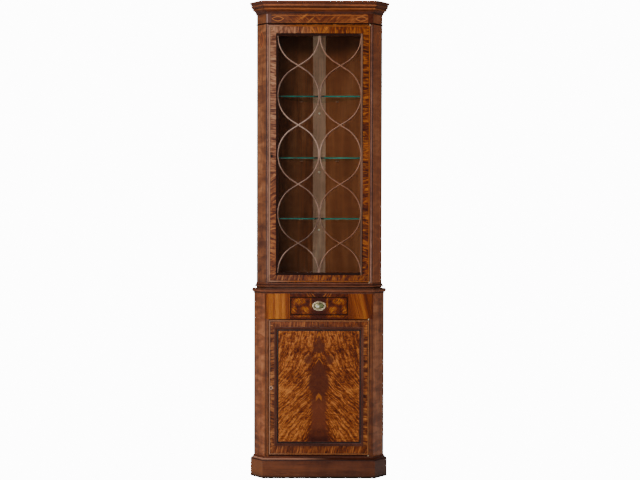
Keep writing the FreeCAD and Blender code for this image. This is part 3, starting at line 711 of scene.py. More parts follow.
@dataclass(frozen=True)
class PanelTrimTimber(Timber):
    """The moulding round the cupboard panel: brown, with a dark line of painted shade along its
    inner edge.
    """

    inner_x: float = 0.1685
    inner_low: float = 0.1493
    inner_high: float = 0.6125
    line_from: float = 0.0020
    line_to: float = 0.0062
    line_colour: Colour = (24, 8, 5)

    def trimmed(self, g: Graph, colour: Socket) -> Socket:
        """Paints shade on the strip that far outside the panel's sight line."""
        x, _, z = g.place()
        past = past_frame(x, z, self.inner_x, self.inner_low, self.inner_high)
        # Painted shade in the quirk by the panel
        line = past.between(self.line_from, self.line_to, 0.0012)
        return g.mix(line * 0.9, colour, self.line_colour)


# The flecks and the polish of the veneers

BAND_FLECK = (30, 11, 4)
FLECK = (36, 14, 5)
POLISH = {"Coat_Weight": 0.05, "Coat_Roughness": 0.14, "Specular_IOR_Level": 0.18}
DULL_POLISH = {"Coat_Weight": 0.02, "Coat_Roughness": 0.12, "Specular_IOR_Level": 0.12}


@dataclass(frozen=True)
class Spot:
    """An ellipse with soft edges: its centre, its two half sizes and how strong it is."""

    across: float
    up: float
    half_across: float
    half_up: float
    share: float = 1.0

    def out(self, across: Number, up: Number) -> Number:
        """The square of how far out a place is, zero in the centre and one on the ellipse: the sum
        of the squares of the two distances from the centre over the two half sizes.

        Args:
            across: where the place is, sideways.
            up: where it is, upwards.

        Returns:
            The square.
        """
        off_across = (across - self.across) / self.half_across
        off_up = (up - self.up) / self.half_up
        return off_across * off_across + off_up * off_up


@dataclass(frozen=True)
class Banding:
    """A door frame's veneer: crossbanding whose stripes run at right angles to the nearest edge,
    mitred at the corners and cut in lengths, inside a lighter strip of straight wood.

    The side bands lie where the point is further past the opening sideways than up or down, both
    measured from the inner edge of the band. Stripes vary along the band and hardly across it. The
    level bands may be calmer than the side bands and have a fan of rays at their middle. The right
    side band has dark knots and each keyhole has its colour. Painted light may lie on the door's
    left half, and painted shade along the band's inner edge, down the hung edge and on the bottom
    band.
    """

    name: str
    face: float
    inner_x: float
    inner_low: float
    inner_high: float
    strip_x: float
    strip_low: float
    strip_high: float
    strip_wide: float
    dark: Colour
    ground: Colour
    light: Colour
    strip_dark: Colour
    strip_light: Colour
    # How much painted light lies on the door's left half
    left_light: float = 0.0
    quirk: float = 0.75
    blotch: float = 42.0
    fan: float = 0.0
    calm: float = 0.0
    # Painted shade towards the band's inner edge
    inner_shade: float = 0.0
    shaded: float = 0.0
    # Where the painted shadow of the gap down the hung edge starts
    gap_shade_x: float = 0.0
    keyholes: tuple[tuple[Spot, Colour], ...] = ()
    leaf_start: float = 0.03
    leaf_long: float = 0.118
    quirk_colour: Colour = (50, 18, 8)
    outside: Colour = (74, 30, 14)

    def build(self) -> Material:
        """Makes the material."""
        g = Graph(self.name)
        x, _, z = g.place()
        middle = (self.inner_low + self.inner_high) / 2.0
        past_x = abs(x) - self.inner_x
        past_z = (z - self.inner_high).most(self.inner_low - z)
        side = (past_x - past_z).above(0.0)
        along = z * side + x * (1.0 - side)
        across = past_x * side + past_z * (1.0 - side)
        hand = x.above(0.0) + (z - middle).above(0.0) * 2.0
        leaf = ((along + self.leaf_start) / self.leaf_long).floor() + hand * 7.3
        lean = g.noise(leaf * 3.7, 0.5, 0.5, 0.0) - 0.5
        line = along + across * lean * 1.8
        stripe = g.noise(line * 250.0, across * 16.0 + leaf, leaf, 3.0, 0.64, 0.5)
        broad = g.noise(line * self.blotch, across * 22.0, leaf * 1.7, 2.0, 0.5, 0.9)
        fleck = g.noise(line * 900.0, across * 60.0, leaf, 2.0, 0.5)
        tone = stripe.rise(0.32, 0.68) * 0.55 + broad.rise(0.34, 0.66) * 0.45
        flat = (1.0 - side) * self.calm
        tone = tone * (1.0 - flat) + (0.16 + stripe.rise(0.3, 0.7) * 0.30) * flat
        colour = g.ramp(tone, [(0.14, self.dark), (0.48, self.ground), (0.84, self.light)])
        colour = g.mix(abs(x).fall(0.020, 0.040) * flat * 0.6, colour, self.dark)
        tick = g.noise(line * 260.0, leaf, 6.0, 1.0).rise(0.64, 0.72)
        colour = g.mix(tick * (0.6 + flat * 0.3), colour, self.light)
        colour = g.mix(fleck.fall(0.30, 0.44) * 0.35, colour, BAND_FLECK)
        # Painted shade towards the band's inner edge
        colour = g.mix(across.fall(0.0, 0.014) * self.inner_shade, colour, self.dark)
        knot = g.noise(z * 34.0, across * 12.0, 8.0, 1.0).fall(0.42, 0.50) * x.above(0.0) * side
        colour = g.mix(knot * 0.4, colour, self.dark)
        if self.fan > 0.0:
            colour = self.fanned(g, past_z, colour)
        # Painted light on the door's left half
        if self.left_light > 0.0:
            colour = self.bleached(g, tone, colour)
        edge = past_frame(x, z, self.strip_x, self.strip_low, self.strip_high)
        half = self.strip_wide / 2.0
        strip = edge.near(half, half - 0.0003, 0.0005)
        quirk = edge.near(-0.0012, 0.0008, 0.0008)
        colour = g.mix(quirk * self.quirk, colour, self.quirk_colour)
        beyond = edge.rise(self.strip_wide, self.strip_wide + 0.0006)
        colour = g.mix(beyond, colour, self.outside)
        colour = g.mix(strip, colour, self.straight(g, across, line))
        colour = g.on_core(self.used(g, colour), self.face)
        rough = 0.32 + stripe * 0.08
        height = stripe * 0.25 + fleck.rise(0.3, 0.44) * 0.5 - strip * 0.2
        return g.close(colour, rough, height, 0.00010, **POLISH)

    def fanned(self, g: Graph, past_z: Number, colour: Socket) -> Socket:
        """The colour with the top band's fan: rays that meet just under the band's middle.

        Args:
            g: the material's graph.
            past_z: how far the surface is past the opening, up or down.
            colour: the colour before.

        Returns:
            The colour.
        """
        x, _, z = g.place()
        ray = g.noise(x * 9.0 / (past_z + 0.03), past_z * 12.0, 2.0, 3.0, 0.6)
        glow = abs(x).fall(0.028, 0.048) * (z - self.inner_high).above(0.0)
        rays = g.ramp(ray.rise(0.36, 0.62), [(0.0, (120, 44, 10)), (1.0, (224, 132, 52))])
        return g.mix(glow * self.fan, colour, rays)

    def bleached(self, g: Graph, tone: Number, colour: Socket) -> Socket:
        """The colour with painted light on its left half, most of all at the top.

        Args:
            g: the material's graph.
            tone: how light the figure is.
            colour: the colour before.

        Returns:
            The colour.
        """
        x, _, z = g.place()
        lit_share = x.fall(-0.19, 0.02) * (0.35 + z.rise(1.10, 1.55) * 0.65) * self.left_light
        pale = g.ramp(tone, [(0.15, (96, 54, 38)), (0.5, (172, 112, 82)), (0.85, (218, 162, 124))])
        return g.mix(lit_share, colour, pale)

    def straight(self, g: Graph, across: Number, line: Number) -> Socket:
        """The strip's straight wood.

        Args:
            g: the material's graph.
            across: how far the surface is across the band.
            line: how far it is along the band.

        Returns:
            The colour.
        """
        fibre = g.noise(across * 700.0, line * 14.0, 0.0, 3.0)
        colour = g.ramp(fibre, [(0.3, self.strip_dark), (0.7, self.strip_light)])
        # Painted light on the strip at the left
        if self.left_light > 0.0:
            colour = g.mix(g.place()[0].fall(-0.215, -0.10) * 0.75, colour, (206, 158, 128))
        return colour

    def used(self, g: Graph, colour: Socket) -> Socket:
        """The colour with the keyholes' rims, and painted shade down the hung edge and on the bottom
        band.

        Args:
            g: the material's graph.
            colour: the colour before.

        Returns:
            The colour.
        """
        x, _, z = g.place()
        for hole, rim in self.keyholes:
            colour = g.mix(hole.out(x, z).fall(0.7, 1.2) * 0.9, colour, rim)
        # Painted shadow of the gap down the hung edge
        if self.gap_shade_x > 0.0:
            painted_light = x.rise(self.gap_shade_x, self.gap_shade_x + 0.0008)
            colour = g.mix(painted_light * 0.7, colour, (56, 22, 12))
        # Painted shade on the bottom band
        return g.mix((self.inner_low - z).above(0.0) * self.shaded, colour, self.dark)


@dataclass(frozen=True)
class CrotchPanel:
    """The cupboard panel: bookmatched crotch figure about a dark heart.

    With u the distance from the middle line and t the depth below the top, the streaks follow the
    lines where u less a spread that grows with t is constant. They hang upright at the top, lean
    outwards below and straighten again at the foot. The heart's half width goes through the stops,
    and a lobe stands out at each side of it. A chevron is a pale arrow mark: its depth, its half
    width and its thickness.
    """

    name: str
    face: float
    top: float
    dark: Colour
    ground: Colour
    light: Colour
    heart: Colour
    spread: Stops
    heart_half: Stops
    lobe: Spot
    chevrons: tuple[tuple[float, float, float], ...]
    spread_reach: float = 0.3
    heart_reach: float = 0.06
    heart_light: Colour = (112, 54, 30)
    heart_glow: Colour = (146, 74, 44)
    arrow: Colour = (206, 116, 44)
    foot_dark: Colour = (66, 26, 20)

    def build(self) -> Material:
        """Makes the material."""
        g = Graph(self.name)
        x, _, z = g.place()
        drift = g.noise(x * 6.0, 0.5, z * 9.0, 2.0) - 0.5
        u = abs(x + drift * 0.004)
        t = self.top - z
        own = g.noise(x * 22.0, 3.0, z * 16.0, 3.0, 0.5) - 0.5
        warp = g.noise(u * 20.0, t * 16.0, 1.0, 3.0, 0.55) - 0.5
        line = u - g.level(t, self.spread) * self.spread_reach + warp * 0.020 + own * 0.012
        streak = g.noise(line * 104.0, t * 17.0, 3.0, 3.0, 0.60, 0.9)
        fine = g.noise(line * 230.0, t * 60.0, 5.0, 3.0, 0.6, 0.6)
        curl = g.noise(u * 70.0 + warp * 8.0, t * 80.0 + own * 3.0, 7.0, 2.0, 0.55, 1.4)
        cloud = g.noise(u * 11.0, t * 9.0, 9.0, 2.0, 0.5)
        tone = (streak.rise(0.34, 0.66) * 0.36 + fine.rise(0.32, 0.68) * 0.20
                + curl.rise(0.32, 0.68) * 0.26 + cloud.rise(0.34, 0.66) * 0.18)
        # Painted light makes the panel lighter towards the left
        tone = tone + x.fall(-0.16, -0.05) * 0.10 - u.fall(0.03, 0.10) * 0.10
        colour = g.ramp(tone, [(0.22, self.dark), (0.50, self.ground), (0.80, self.light)])
        colour = self.marked(g, u, t, colour)
        fleck = g.noise(line * 900.0, t * 110.0, 0.0, 2.0)
        colour = g.mix(fleck.fall(0.32, 0.44) * 0.3, colour, FLECK)
        colour = g.on_core(colour, self.face)
        rough = 0.30 + fine * 0.1
        height = fine * 0.3 + fleck.rise(0.3, 0.44) * 0.4
        return g.close(colour, rough, height, 0.00010, **DULL_POLISH)

    def marked(self, g: Graph, u: Number, t: Number, colour: Socket) -> Socket:
        """The colour with the heart, its lobes, the arrow marks and the dark foot.

        Args:
            g: the material's graph.
            u: the distance from the middle line.
            t: the depth below the top.
            colour: the figure's colour.

        Returns:
            The colour.
        """
        ragged = g.noise(u * 40.0, t * 45.0, 2.0, 3.0, 0.6) - 0.5
        reach = g.level(t, self.heart_half) * self.heart_reach
        inside = (u + ragged * 0.030 - reach).fall(-0.010, 0.008)
        lobe = self.lobe.out(u + ragged * 0.012, t + ragged * 0.014).fall(0.3, 1.5)
        inside = inside.most(lobe * self.lobe.share)
        grain = g.noise(u * 60.0, t * 70.0, 4.0, 3.0, 0.6)
        heart = g.ramp(grain, [(0.3, self.heart), (0.75, self.heart_light)])
        heart = g.mix(t.near(0.350, 0.030, 0.050) * 0.5, heart, self.heart_glow)
        colour = g.mix(inside * 0.92, colour, heart)
        for depth, half, thick in self.chevrons:
            tip = t - u * 1.4 - depth + ragged * 0.006
            arrow = tip.near(0.0, thick, thick + 0.002) * u.fall(half, half + 0.006)
            colour = g.mix(arrow * 0.8, colour, self.arrow)
        foot = t.rise(0.430, 0.455) * u.fall(0.030, 0.052)
        return g.mix(foot * 0.8, colour, self.foot_dark)


@dataclass(frozen=True)
class DrawerVeneer:
    """The lower frieze and its drawer: plain upright stock at both ends and, between them, dark
    crotch figure bookmatched about the middle, with bright patches where the branch wood shows.

    The streaks of the figure run down towards the middle, so they follow the lines where u less
    three quarters of the height is constant. The patches have broken edges. The stops of the ends
    say how light the plain stock is from left to right, which holds both the stock's own strips and
    painted light, lighter at the left.
    """

    name: str
    face: float
    middle_z: float
    end_x: float
    dark: Colour
    ground: Colour
    light: Colour
    ends: Stops
    patches: tuple[Spot, ...]
    end_ground: Colour = (150, 70, 22)
    end_light: Colour = (242, 148, 58)
    tick: Colour = (214, 124, 56)
    joint_x: float = 0.2212
    joint: Colour = (40, 16, 10)

    def build(self) -> Material:
        """Makes the material."""
        g = Graph(self.name)
        x, _, z = g.place()
        wander = g.noise(x * 45.0, 0.5, z * 55.0, 3.0, 0.6) - 0.5
        shift = g.noise(x * 35.0, 4.5, z * 45.0, 3.0, 0.6) - 0.5
        u = abs(x) + wander * 0.010
        up = z - self.middle_z + shift * 0.008
        line = u - up * 0.75
        fine = g.noise(line * 420.0, up * 60.0, 5.0, 2.0)
        crotch = self.crotch(g, u, up, line, fine)
        crotch = g.mix(abs(x).fall(0.018, 0.040) * 0.7, crotch, self.dark)
        tick = g.noise(line * 230.0, 0.5, 9.0, 1.0).rise(0.58, 0.68) * up.rise(0.0375, 0.0385)
        crotch = g.mix(tick * 0.55, crotch, self.tick)
        outside = abs(x).rise(self.end_x, self.end_x + 0.001)
        colour = g.mix(outside, crotch, self.plain(g))
        colour = g.mix(abs(x).near(self.joint_x, 0.0014, 0.0008) * 0.8, colour, self.joint)
        fleck = g.noise(line * 900.0, up * 110.0, 0.0, 2.0)
        colour = g.mix(fleck.fall(0.32, 0.44) * 0.3, colour, FLECK)
        colour = g.on_core(colour, self.face)
        return g.close(colour, 0.30 + fine * 0.1, fine, 0.00006, **DULL_POLISH)

    def crotch(self, g: Graph, u: Number, up: Number, line: Number, fine: Number) -> Socket:
        """The crotch figure with its patches.

        Args:
            g: the material's graph.
            u: the distance from the middle line.
            up: the height above the drawer's middle.
            line: which streak the place is on.
            fine: the finest figure.

        Returns:
            The colour.
        """
        glows = [spot.out(u, up).fall(0.0, 2.0) * spot.share for spot in self.patches]
        glow = reduce(Number.most, glows)
        streak = g.noise(line * 250.0, up * 70.0, 3.0, 4.0, 0.66, 0.5)
        cloud = g.noise(u * 40.0, up * 40.0, 6.0, 2.0)
        broken = streak.rise(0.36, 0.62)
        tone = (cloud.rise(0.3, 0.7) * 0.16 + broken * (0.16 + glow * 0.62) + glow * 0.12
                + fine.rise(0.3, 0.7) * 0.10)
        return g.ramp(tone, [(0.10, self.dark), (0.48, self.ground), (0.90, self.light)])

    def plain(self, g: Graph) -> Socket:
        """The upright stock of the ends, whose grain leans a little at the right.

        Args:
            g: the material's graph.

        Returns:
            The colour.
        """
        x, _, z = g.place()
        slant = x + (z - self.middle_z) * x.above(0.0) * 0.22
        fibre = g.noise(slant * 260.0, z * 9.0, 8.0, 3.0, 0.6)
        # The ends' stops hold painted light as well as the stock's strips, stronger at the left
        tone = g.level(slant, self.ends) * 0.8 + fibre.rise(0.3, 0.7) * 0.28 - 0.06
        return g.ramp(tone, [(0.0, self.dark), (0.45, self.end_ground), (1.0, self.end_light)])


@dataclass(frozen=True)
class FriezeVeneer:
    """The frieze: slanting figure, thin strings along its top and bottom and the outline of a
    pointed oval inlaid at each end."""

    name: str
    middle_z: float
    string_x: float
    string_half: float
    oval_x: float
    oval_long: float
    oval_half: float
    dark: Colour
    ground: Colour
    light: Colour
    flash: Colour = (222, 134, 58)
    # Colour of the painted sheen on the left
    dull: Colour = (112, 74, 60)
    oval_ground: Colour = (84, 38, 24)
    inlay_dark: Colour = (204, 112, 52)
    inlay_light: Colour = (246, 156, 84)
    left_end: Colour = (120, 78, 66)
    right_end: Colour = (82, 30, 16)
    # A painted highlight down the left corner: where, and its colour
    corner_highlight_x: float = -0.2185
    worn: Colour = (214, 172, 158)

    def build(self) -> Material:
        """Makes the material."""
        g = Graph(self.name)
        x, _, z = g.place()
        u = abs(x)
        up = z - self.middle_z
        line = up - u * 0.9
        figure = g.noise(line * 210.0, u * 26.0, 2.0, 3.0, 0.62, 0.6)
        cloud = g.noise(x * 18.0, up * 40.0, 4.0, 2.0)
        tone = (figure.rise(0.30, 0.72) * 0.55 + cloud.rise(0.3, 0.7) * 0.35
                + x.rise(-0.2, 0.2) * 0.1)
        colour = g.ramp(tone, [(0.1, self.dark), (0.5, self.ground), (0.9, self.light)])
        flash = g.noise((up - x * 0.75) * 75.0, x * 9.0, 6.0, 2.0, 0.5, 0.5).rise(0.58, 0.66)
        colour = g.mix(flash * u.fall(0.06, 0.12) * 0.8, colour, self.flash)
        # Painted sheen: greyer towards the left
        colour = g.mix(x.fall(-0.20, -0.06) * 0.45, colour, self.dull)
        colour = self.inlaid(g, up, colour)
        end = u.rise(self.string_x + 0.0015, self.string_x + 0.0030)
        colour = g.mix(end * 0.85, colour, g.mix(x.above(0.0), self.left_end, self.right_end))
        # Painted highlight down the left corner
        colour = g.mix(x.near(self.corner_highlight_x, 0.0014, 0.0012) * 0.8, colour, self.worn)
        return g.close(colour, 0.32 + figure * 0.06, figure, 0.00006, **POLISH)

    def inlaid(self, g: Graph, up: Number, colour: Socket) -> Socket:
        """The colour with the strings and the ovals. The lower string is half worn away.

        Args:
            g: the material's graph.
            up: the height above the frieze's middle.
            colour: the colour before.

        Returns:
            The colour.
        """
        x, _, _ = g.place()
        u = abs(x)
        upper = up.near(self.string_half, 0.0008, 0.0006) * 0.75
        lower = up.near(-self.string_half, 0.0008, 0.0006) * 0.3
        string = (upper + lower) * u.fall(self.string_x, self.string_x + 0.002)
        leaf = pointed_oval(up, u - self.oval_x, self.oval_half, self.oval_long)
        colour = g.mix(leaf.fall(-0.05, 0.05) * 0.45, colour, self.oval_ground)
        rim = leaf.near(0.0, 0.12, 0.08) * 0.95
        pale = g.noise(x * 240.0, up * 500.0, 0.0, 2.0)
        inlay = g.ramp(pale, [(0.3, self.inlay_dark), (0.7, self.inlay_light)])
        return g.mix(string.most(rim), colour, inlay)


@dataclass(frozen=True)
class Brass:
    """Lacquered brass with darker tarnish in its clouds and fine rubbing marks."""

    name: str
    bright: Colour
    dull: Colour
    roughness: float = 0.30
    metal: float = 1.0

    def build(self) -> Material:
        """Makes the material."""
        g = Graph(self.name)
        x, y, z = g.place()
        cloud = g.noise(x * 110.0, y * 110.0, z * 110.0, 3.0, 0.6)
        rub = g.noise(x * 300.0, y * 900.0, z * 1500.0, 2.0)
        colour = g.mix(cloud.rise(0.40, 0.75) * 0.6, self.bright, self.dull)
        rough = self.roughness + cloud * 0.10 + rub * 0.05
        return g.close(self.toned(g, colour), rough, rub, 0.00002, Metallic=self.metal)

    def toned(self, g: Graph, colour: Socket) -> Socket:
        """The colour with any tarnish that follows the piece's shape. Plain brass has none."""
        return colour


@dataclass(frozen=True)
class LockBrass(Brass):
    """A lock with the lining of its keyhole: the lining's rim is bright and all behind is dark, a
    painted shade.
    """

    face: float = 0.0
    behind: Colour = (24, 14, 8)

    def toned(self, g: Graph, colour: Socket) -> Socket:
        """Paints shade on what lies behind the rim."""
        # Painted shade inside the keyhole
        deep = g.place()[1].rise(self.face + 0.0002, self.face + 0.0010)
        return g.mix(deep, colour, self.behind)


@dataclass(frozen=True)
class PlateBrass(Brass):
    """The oval backplate: its rolled rim is bright, its hollow is dark, partly old polish and partly
    painted shade, and its dome is dull, with painted shade to its right and a painted highlight at
    its left."""

    plate: Spot = Spot(0.0, DRAWER_MIDDLE_Z * MM, PLATE_HALF_X * MM, PLATE_HALF_Z * MM)
    # A painted highlight on the dome
    highlight_spot: Spot = Spot(-0.22, -0.12, 0.26, 0.26, 0.7)
    # Painted shade on the dome's right
    dome_right: Colour = (122, 128, 84)
    # The hollow: partly old polish, partly painted shade
    hollow: Colour = (58, 50, 28)
    painted_light: Colour = (255, 250, 234)

    def toned(self, g: Graph, colour: Socket) -> Socket:
        """Darkens the hollow, dulls the dome and paints its shade and highlight. The spot is placed
        in shares of the plate.
        """
        x, _, z = g.place()
        share_x, share_z = x / self.plate.half_across, (z - self.plate.up) / self.plate.half_up
        out = g.math("SQRT", self.plate.out(x, z))
        # Painted shade: the dome darker to its right
        dome = g.mix(share_x.rise(-0.5, 0.5), self.dull, self.dome_right)
        colour = g.mix(out.fall(0.74, 0.80), colour, dome)
        # The hollow darker: partly old polish, partly painted shade
        colour = g.mix(out.near(0.70, 0.05, 0.06) * 0.85, colour, self.hollow)
        # Painted highlight at the dome's left
        spot = self.highlight_spot.out(share_x, share_z).fall(0.2, 1.6)
        return g.mix(spot * self.highlight_spot.share, colour, self.painted_light)


@dataclass(frozen=True)
class PaneGlass:
    """Thin clear glass: it mirrors by its Fresnel share and lets lamps through to the shelves. The
    share is the same at both faces, so the index is turned over where a ray leaves the glass."""

    name: str
    tint: Colour
    mirror: float = 0.35
    index: float = 1.45

    def build(self) -> Material:
        """Makes the material."""
        g = Graph(self.name)
        x, _, z = g.place()
        smear = g.noise(x * 9.0, 0.0, z * 6.0, 2.0)
        clear = g.node("ShaderNodeBsdfTransparent")
        g.feed(self.tint, clear.inputs["Color"])
        gloss = g.node("ShaderNodeBsdfGlossy")
        gloss.inputs["Color"].default_value = (0.9, 0.9, 0.9, 1.0)
        g.feed(0.03 + smear * 0.03, gloss.inputs["Roughness"])
        fresnel = g.node("ShaderNodeFresnel")
        leaving = Number(g, g.node("ShaderNodeNewGeometry").outputs["Backfacing"])
        g.feed(self.index - leaving * (self.index - 1.0 / self.index), fresnel.inputs["IOR"])
        share = Number(g, fresnel.outputs["Fac"]) * self.mirror
        return g.end(g.blend(share, clear.outputs["BSDF"], gloss.outputs["BSDF"]))


@dataclass(frozen=True)
class EdgeGlass:
    """The polished front edge of a shelf, where the glass is deep enough to look green. Painted
    light makes it brighter to the right, and painted shade makes it darkest in the middle, where the
    shelf reaches furthest back."""

    name: str
    deep: Colour
    bright: Colour
    darkest: Colour = (8, 26, 22)

    def build(self) -> Material:
        """Makes the material."""
        g = Graph(self.name)
        x, y, z = g.place()
        cloud = g.noise(x * 18.0, y * 18.0, z * 18.0, 2.0)
        # Painted light: brighter to the right
        brightness = cloud.rise(0.3, 0.7) * 0.45 + x.rise(0.0, 0.03) * 0.55
        colour = g.mix(brightness, self.deep, self.bright)
        # Painted shade in the middle
        colour = g.mix(abs(x).fall(0.016, 0.026) * 0.85, colour, self.darkest)
        return g.close(colour, 0.12 + cloud * 0.08, None, Specular_IOR_Level=0.6)


# Shapes

def outline(corners: list[Corner], steps: int = 8) -> np.ndarray:
    """Points round a closed outline of straight runs and arcs.

    A corner's third number is its arc's bulge, the tangent of a quarter of the angle that the arc
    turns through on its way to the next corner: with half angle h, the radius is the chord over
    twice the sine of h, and the centre stands off the chord's middle by the radius times the cosine
    of h.

    Args:
        corners: (x, y) or (x, y, bulge) of each corner, in order.
        steps: how many parts each run and each arc is cut into.

    Returns:
        The points as an array of rows (x, y).
    """
    share = np.linspace(0.0, 1.0, steps, endpoint=False)[:, None]
    parts = []
    for here, there in zip(corners, corners[1:] + corners[:1]):
        start, end = np.array(here[:2], float), np.array(there[:2], float)
        bulge = here[2] if len(here) > 2 else 0.0
        chord = end - start
        if bulge == 0.0:
            parts.append(start + share * chord)
            continue
        turn = 4.0 * math.atan(bulge)
        length = float(np.hypot(*chord))
        radius = length / (2.0 * math.sin(turn / 2.0))
        left = np.array([-chord[1], chord[0]]) / length
        centre = (start + end) / 2.0 + left * radius * math.cos(turn / 2.0)
        first = math.atan2(*(start - centre)[::-1])
        angle = first + share[:, 0] * turn
        parts.append(centre + abs(radius) * np.stack([np.cos(angle), np.sin(angle)], axis=1))
    return np.concatenate(parts)


def sized(shares: list[Corner], first: float, second: float) -> list[Corner]:
    """A profile's corners in millimetres, from shares of its two sizes. Bulges stay as they are."""
    return [(first * corner[0], second * corner[1], *corner[2:]) for corner in shares]


def exposure_of(section: np.ndarray) -> np.ndarray:
    """How exposed each point of a closed section is: above zero on outer corners, below zero in
    inner ones. It is the turn from one side to the next, spread to its neighbours.

    Args:
        section: points in order, rows of (x, y), turning to the left as a whole.

    Returns:
        One number for each point, within minus one and one.
    """
    ahead = np.roll(section, -1, axis=0) - section
    behind = section - np.roll(section, 1, axis=0)
    turn = np.arctan2(behind[:, 0] * ahead[:, 1] - behind[:, 1] * ahead[:, 0],
                      (behind * ahead).sum(axis=1))
    spread = turn + 0.5 * (np.roll(turn, 1) + np.roll(turn, -1))
    return np.clip(spread / 1.2, -1.0, 1.0)


def run_lengths(line: np.ndarray) -> np.ndarray:
    """The distance run along a closed line at each point and, last, back at the first: the running
    sum of the distances from point to point."""
    steps = np.linalg.norm(np.roll(line, -1, axis=0) - line, axis=1)
    return np.concatenate([[0.0], np.cumsum(steps)])


class Shell:
    """Collects surfaces worked out as grids and makes one mesh of them."""

    MERGE_DISTANCE = 1e-7

    def __init__(self) -> None:
        """Starts empty."""
        self.points: list[np.ndarray] = []
        self.wear: list[np.ndarray] = []
        self.faces: list[list[int]] = []
        self.maps: list[np.ndarray] = []
        self.slots: list[int] = []
        self.count = 0
        self.last_shape = (0, 0)

    def grid(self, points: np.ndarray, close_rows: bool = False, close_columns: bool = False,
             wear: np.ndarray | None = None, slot: int | np.ndarray = 0) -> "Shell":
        """Adds a grid of four-sided faces.

        The piece's map holds, at each corner of a face, the length run along the rows' middle line
        and the length round the first row, in metres.

        Args:
            points: rows by columns by (x, y, z), in millimetres.
            close_rows: True if the last row joins the first.
            close_columns: True if each row's last point joins its first.
            wear: how exposed each column is, or None.
            slot: the material slot of the faces, one for all or one for each column.

        Returns:
            This shell.
        """
        rows, columns = points.shape[:2]
        row, column = np.meshgrid(np.arange(rows - (not close_rows)),
                                  np.arange(columns - (not close_columns)), indexing="ij")
        corners = ((row, column), (row + 1, column), (row + 1, column + 1), (row, column + 1))
        index = [(a % rows) * columns + b % columns for a, b in corners]
        faces = np.stack(index, axis=-1).reshape(-1, 4) + self.count
        along, across = run_lengths(points.mean(axis=1)), run_lengths(points[0])
        map_points = [np.stack([along[a], across[b]], axis=-1) for a, b in corners]
        self.faces.extend(faces.tolist())
        self.maps.append(np.stack(map_points, axis=2).reshape(-1, 2) * MM)
        self.slots.extend(np.broadcast_to(slot, row.shape).ravel().tolist())
        self.points.append(points.reshape(-1, 3))
        column_exposure = np.zeros(columns) if wear is None else wear
        self.wear.append(np.tile(column_exposure, rows))
        self.count += rows * columns
        self.last_shape = (rows, columns)
        return self

    def cap(self, row: int) -> "Shell":
        """Closes one end of the grid just added with a single face.

        Args:
            row: zero for the grid's first row, minus one for its last.

        Returns:
            This shell.
        """
        rows, columns = self.last_shape
        first = self.count - rows * columns + (row % rows) * columns
        self.faces.append(list(range(first, first + columns)))
        self.maps.append(np.zeros((columns, 2)))
        self.slots.append(0)
        return self

    def tube(self, points: np.ndarray, wear: np.ndarray | None = None) -> "Shell":
        """Adds a grid that is closed round each row and capped at both ends."""
        return self.grid(points, close_columns=True, wear=wear).cap(0).cap(-1)

    def build(self, name: str, sharp: float = 32.0) -> Piece:
        """Makes the object, with its poles merged and its faces pointing outwards.

        Args:
            name: the piece's name.
            sharp: edges that turn by more degrees than this stay crisp.

        Returns:
            The object, at the origin.
        """
        mesh = bpy.data.meshes.new(name)
        mesh.from_pydata(np.concatenate(self.points) * MM, [], self.faces)
        mesh.polygons.foreach_set("material_index", np.array(self.slots, np.int32))
        run = mesh.uv_layers.new(name="run")
        run.data.foreach_set("uv", np.concatenate(self.maps).astype(np.float32).ravel())
        wear = mesh.attributes.new("wear", "FLOAT", "POINT")
        wear.data.foreach_set("value", np.concatenate(self.wear).astype(np.float32))
        work = bmesh.new()
        work.from_mesh(mesh)
        bmesh.ops.remove_doubles(work, verts=work.verts, dist=self.MERGE_DISTANCE)
        bmesh.ops.recalc_face_normals(work, faces=work.faces)
        work.to_mesh(mesh)
        work.free()
        mesh.polygons.foreach_set("use_smooth", np.ones(len(mesh.polygons), bool))
        mesh.set_sharp_from_angle(angle=math.radians(sharp))
        made = bpy.data.objects.new(name, mesh)
        bpy.context.scene.collection.objects.link(made)
        return made


def swept(path: np.ndarray, heading: np.ndarray, section: np.ndarray) -> np.ndarray:
    """A section carried along a path in an upright plane that faces the front. Each point is the
    path's point, plus the section's first number along the unit vector that lies in the plane
    square to the heading, plus its second number towards the front.

    Args:
        path: rows of (x, y, z).
        heading: the way the path goes at each row, of any length.
        section: rows of (sideways, outwards).

    Returns:
        The grid, path rows by section points by (x, y, z).
    """
    heading = heading / np.linalg.norm(heading, axis=1)[:, None]
    sideways = np.stack([heading[:, 2], np.zeros(len(path)), -heading[:, 0]], axis=-1)
    outwards = np.array([0.0, -1.0, 0.0])
    return (path[:, None, :] + section[None, :, 0, None] * sideways[:, None, :]
            + section[None, :, 1, None] * outwards)


def framed(name: str, section: np.ndarray, half: float, low: float, high: float,
           face: float) -> Piece:
    """A section carried round an upright rectangle with mitred corners. Its first number is how far
    a point lies inside the rectangle and its second how far it stands out of the face.

    Args:
        name: the piece's name.
        section: rows of (inside, out).
        half: half the rectangle's width.
        low: its bottom.
        high: its top.
        face: the y of the face it stands on.

    Returns:
        The object.
    """
    sides = np.array([(-1.0, -1.0), (1.0, -1.0), (1.0, 1.0), (-1.0, 1.0)])
    middle, tall = (low + high) / 2.0, (high - low) / 2.0
    inside, out = section[:, 0], section[:, 1]
    x = sides[:, :1] * (half - inside)
    z = middle + sides[:, 1:] * (tall - inside)
    y = np.broadcast_to(face - out, x.shape)
    shell = Shell().grid(np.stack([x, y, z], axis=-1), close_rows=True, close_columns=True,
                         wear=exposure_of(section[::-1])[::-1])
    return shell.build(name)


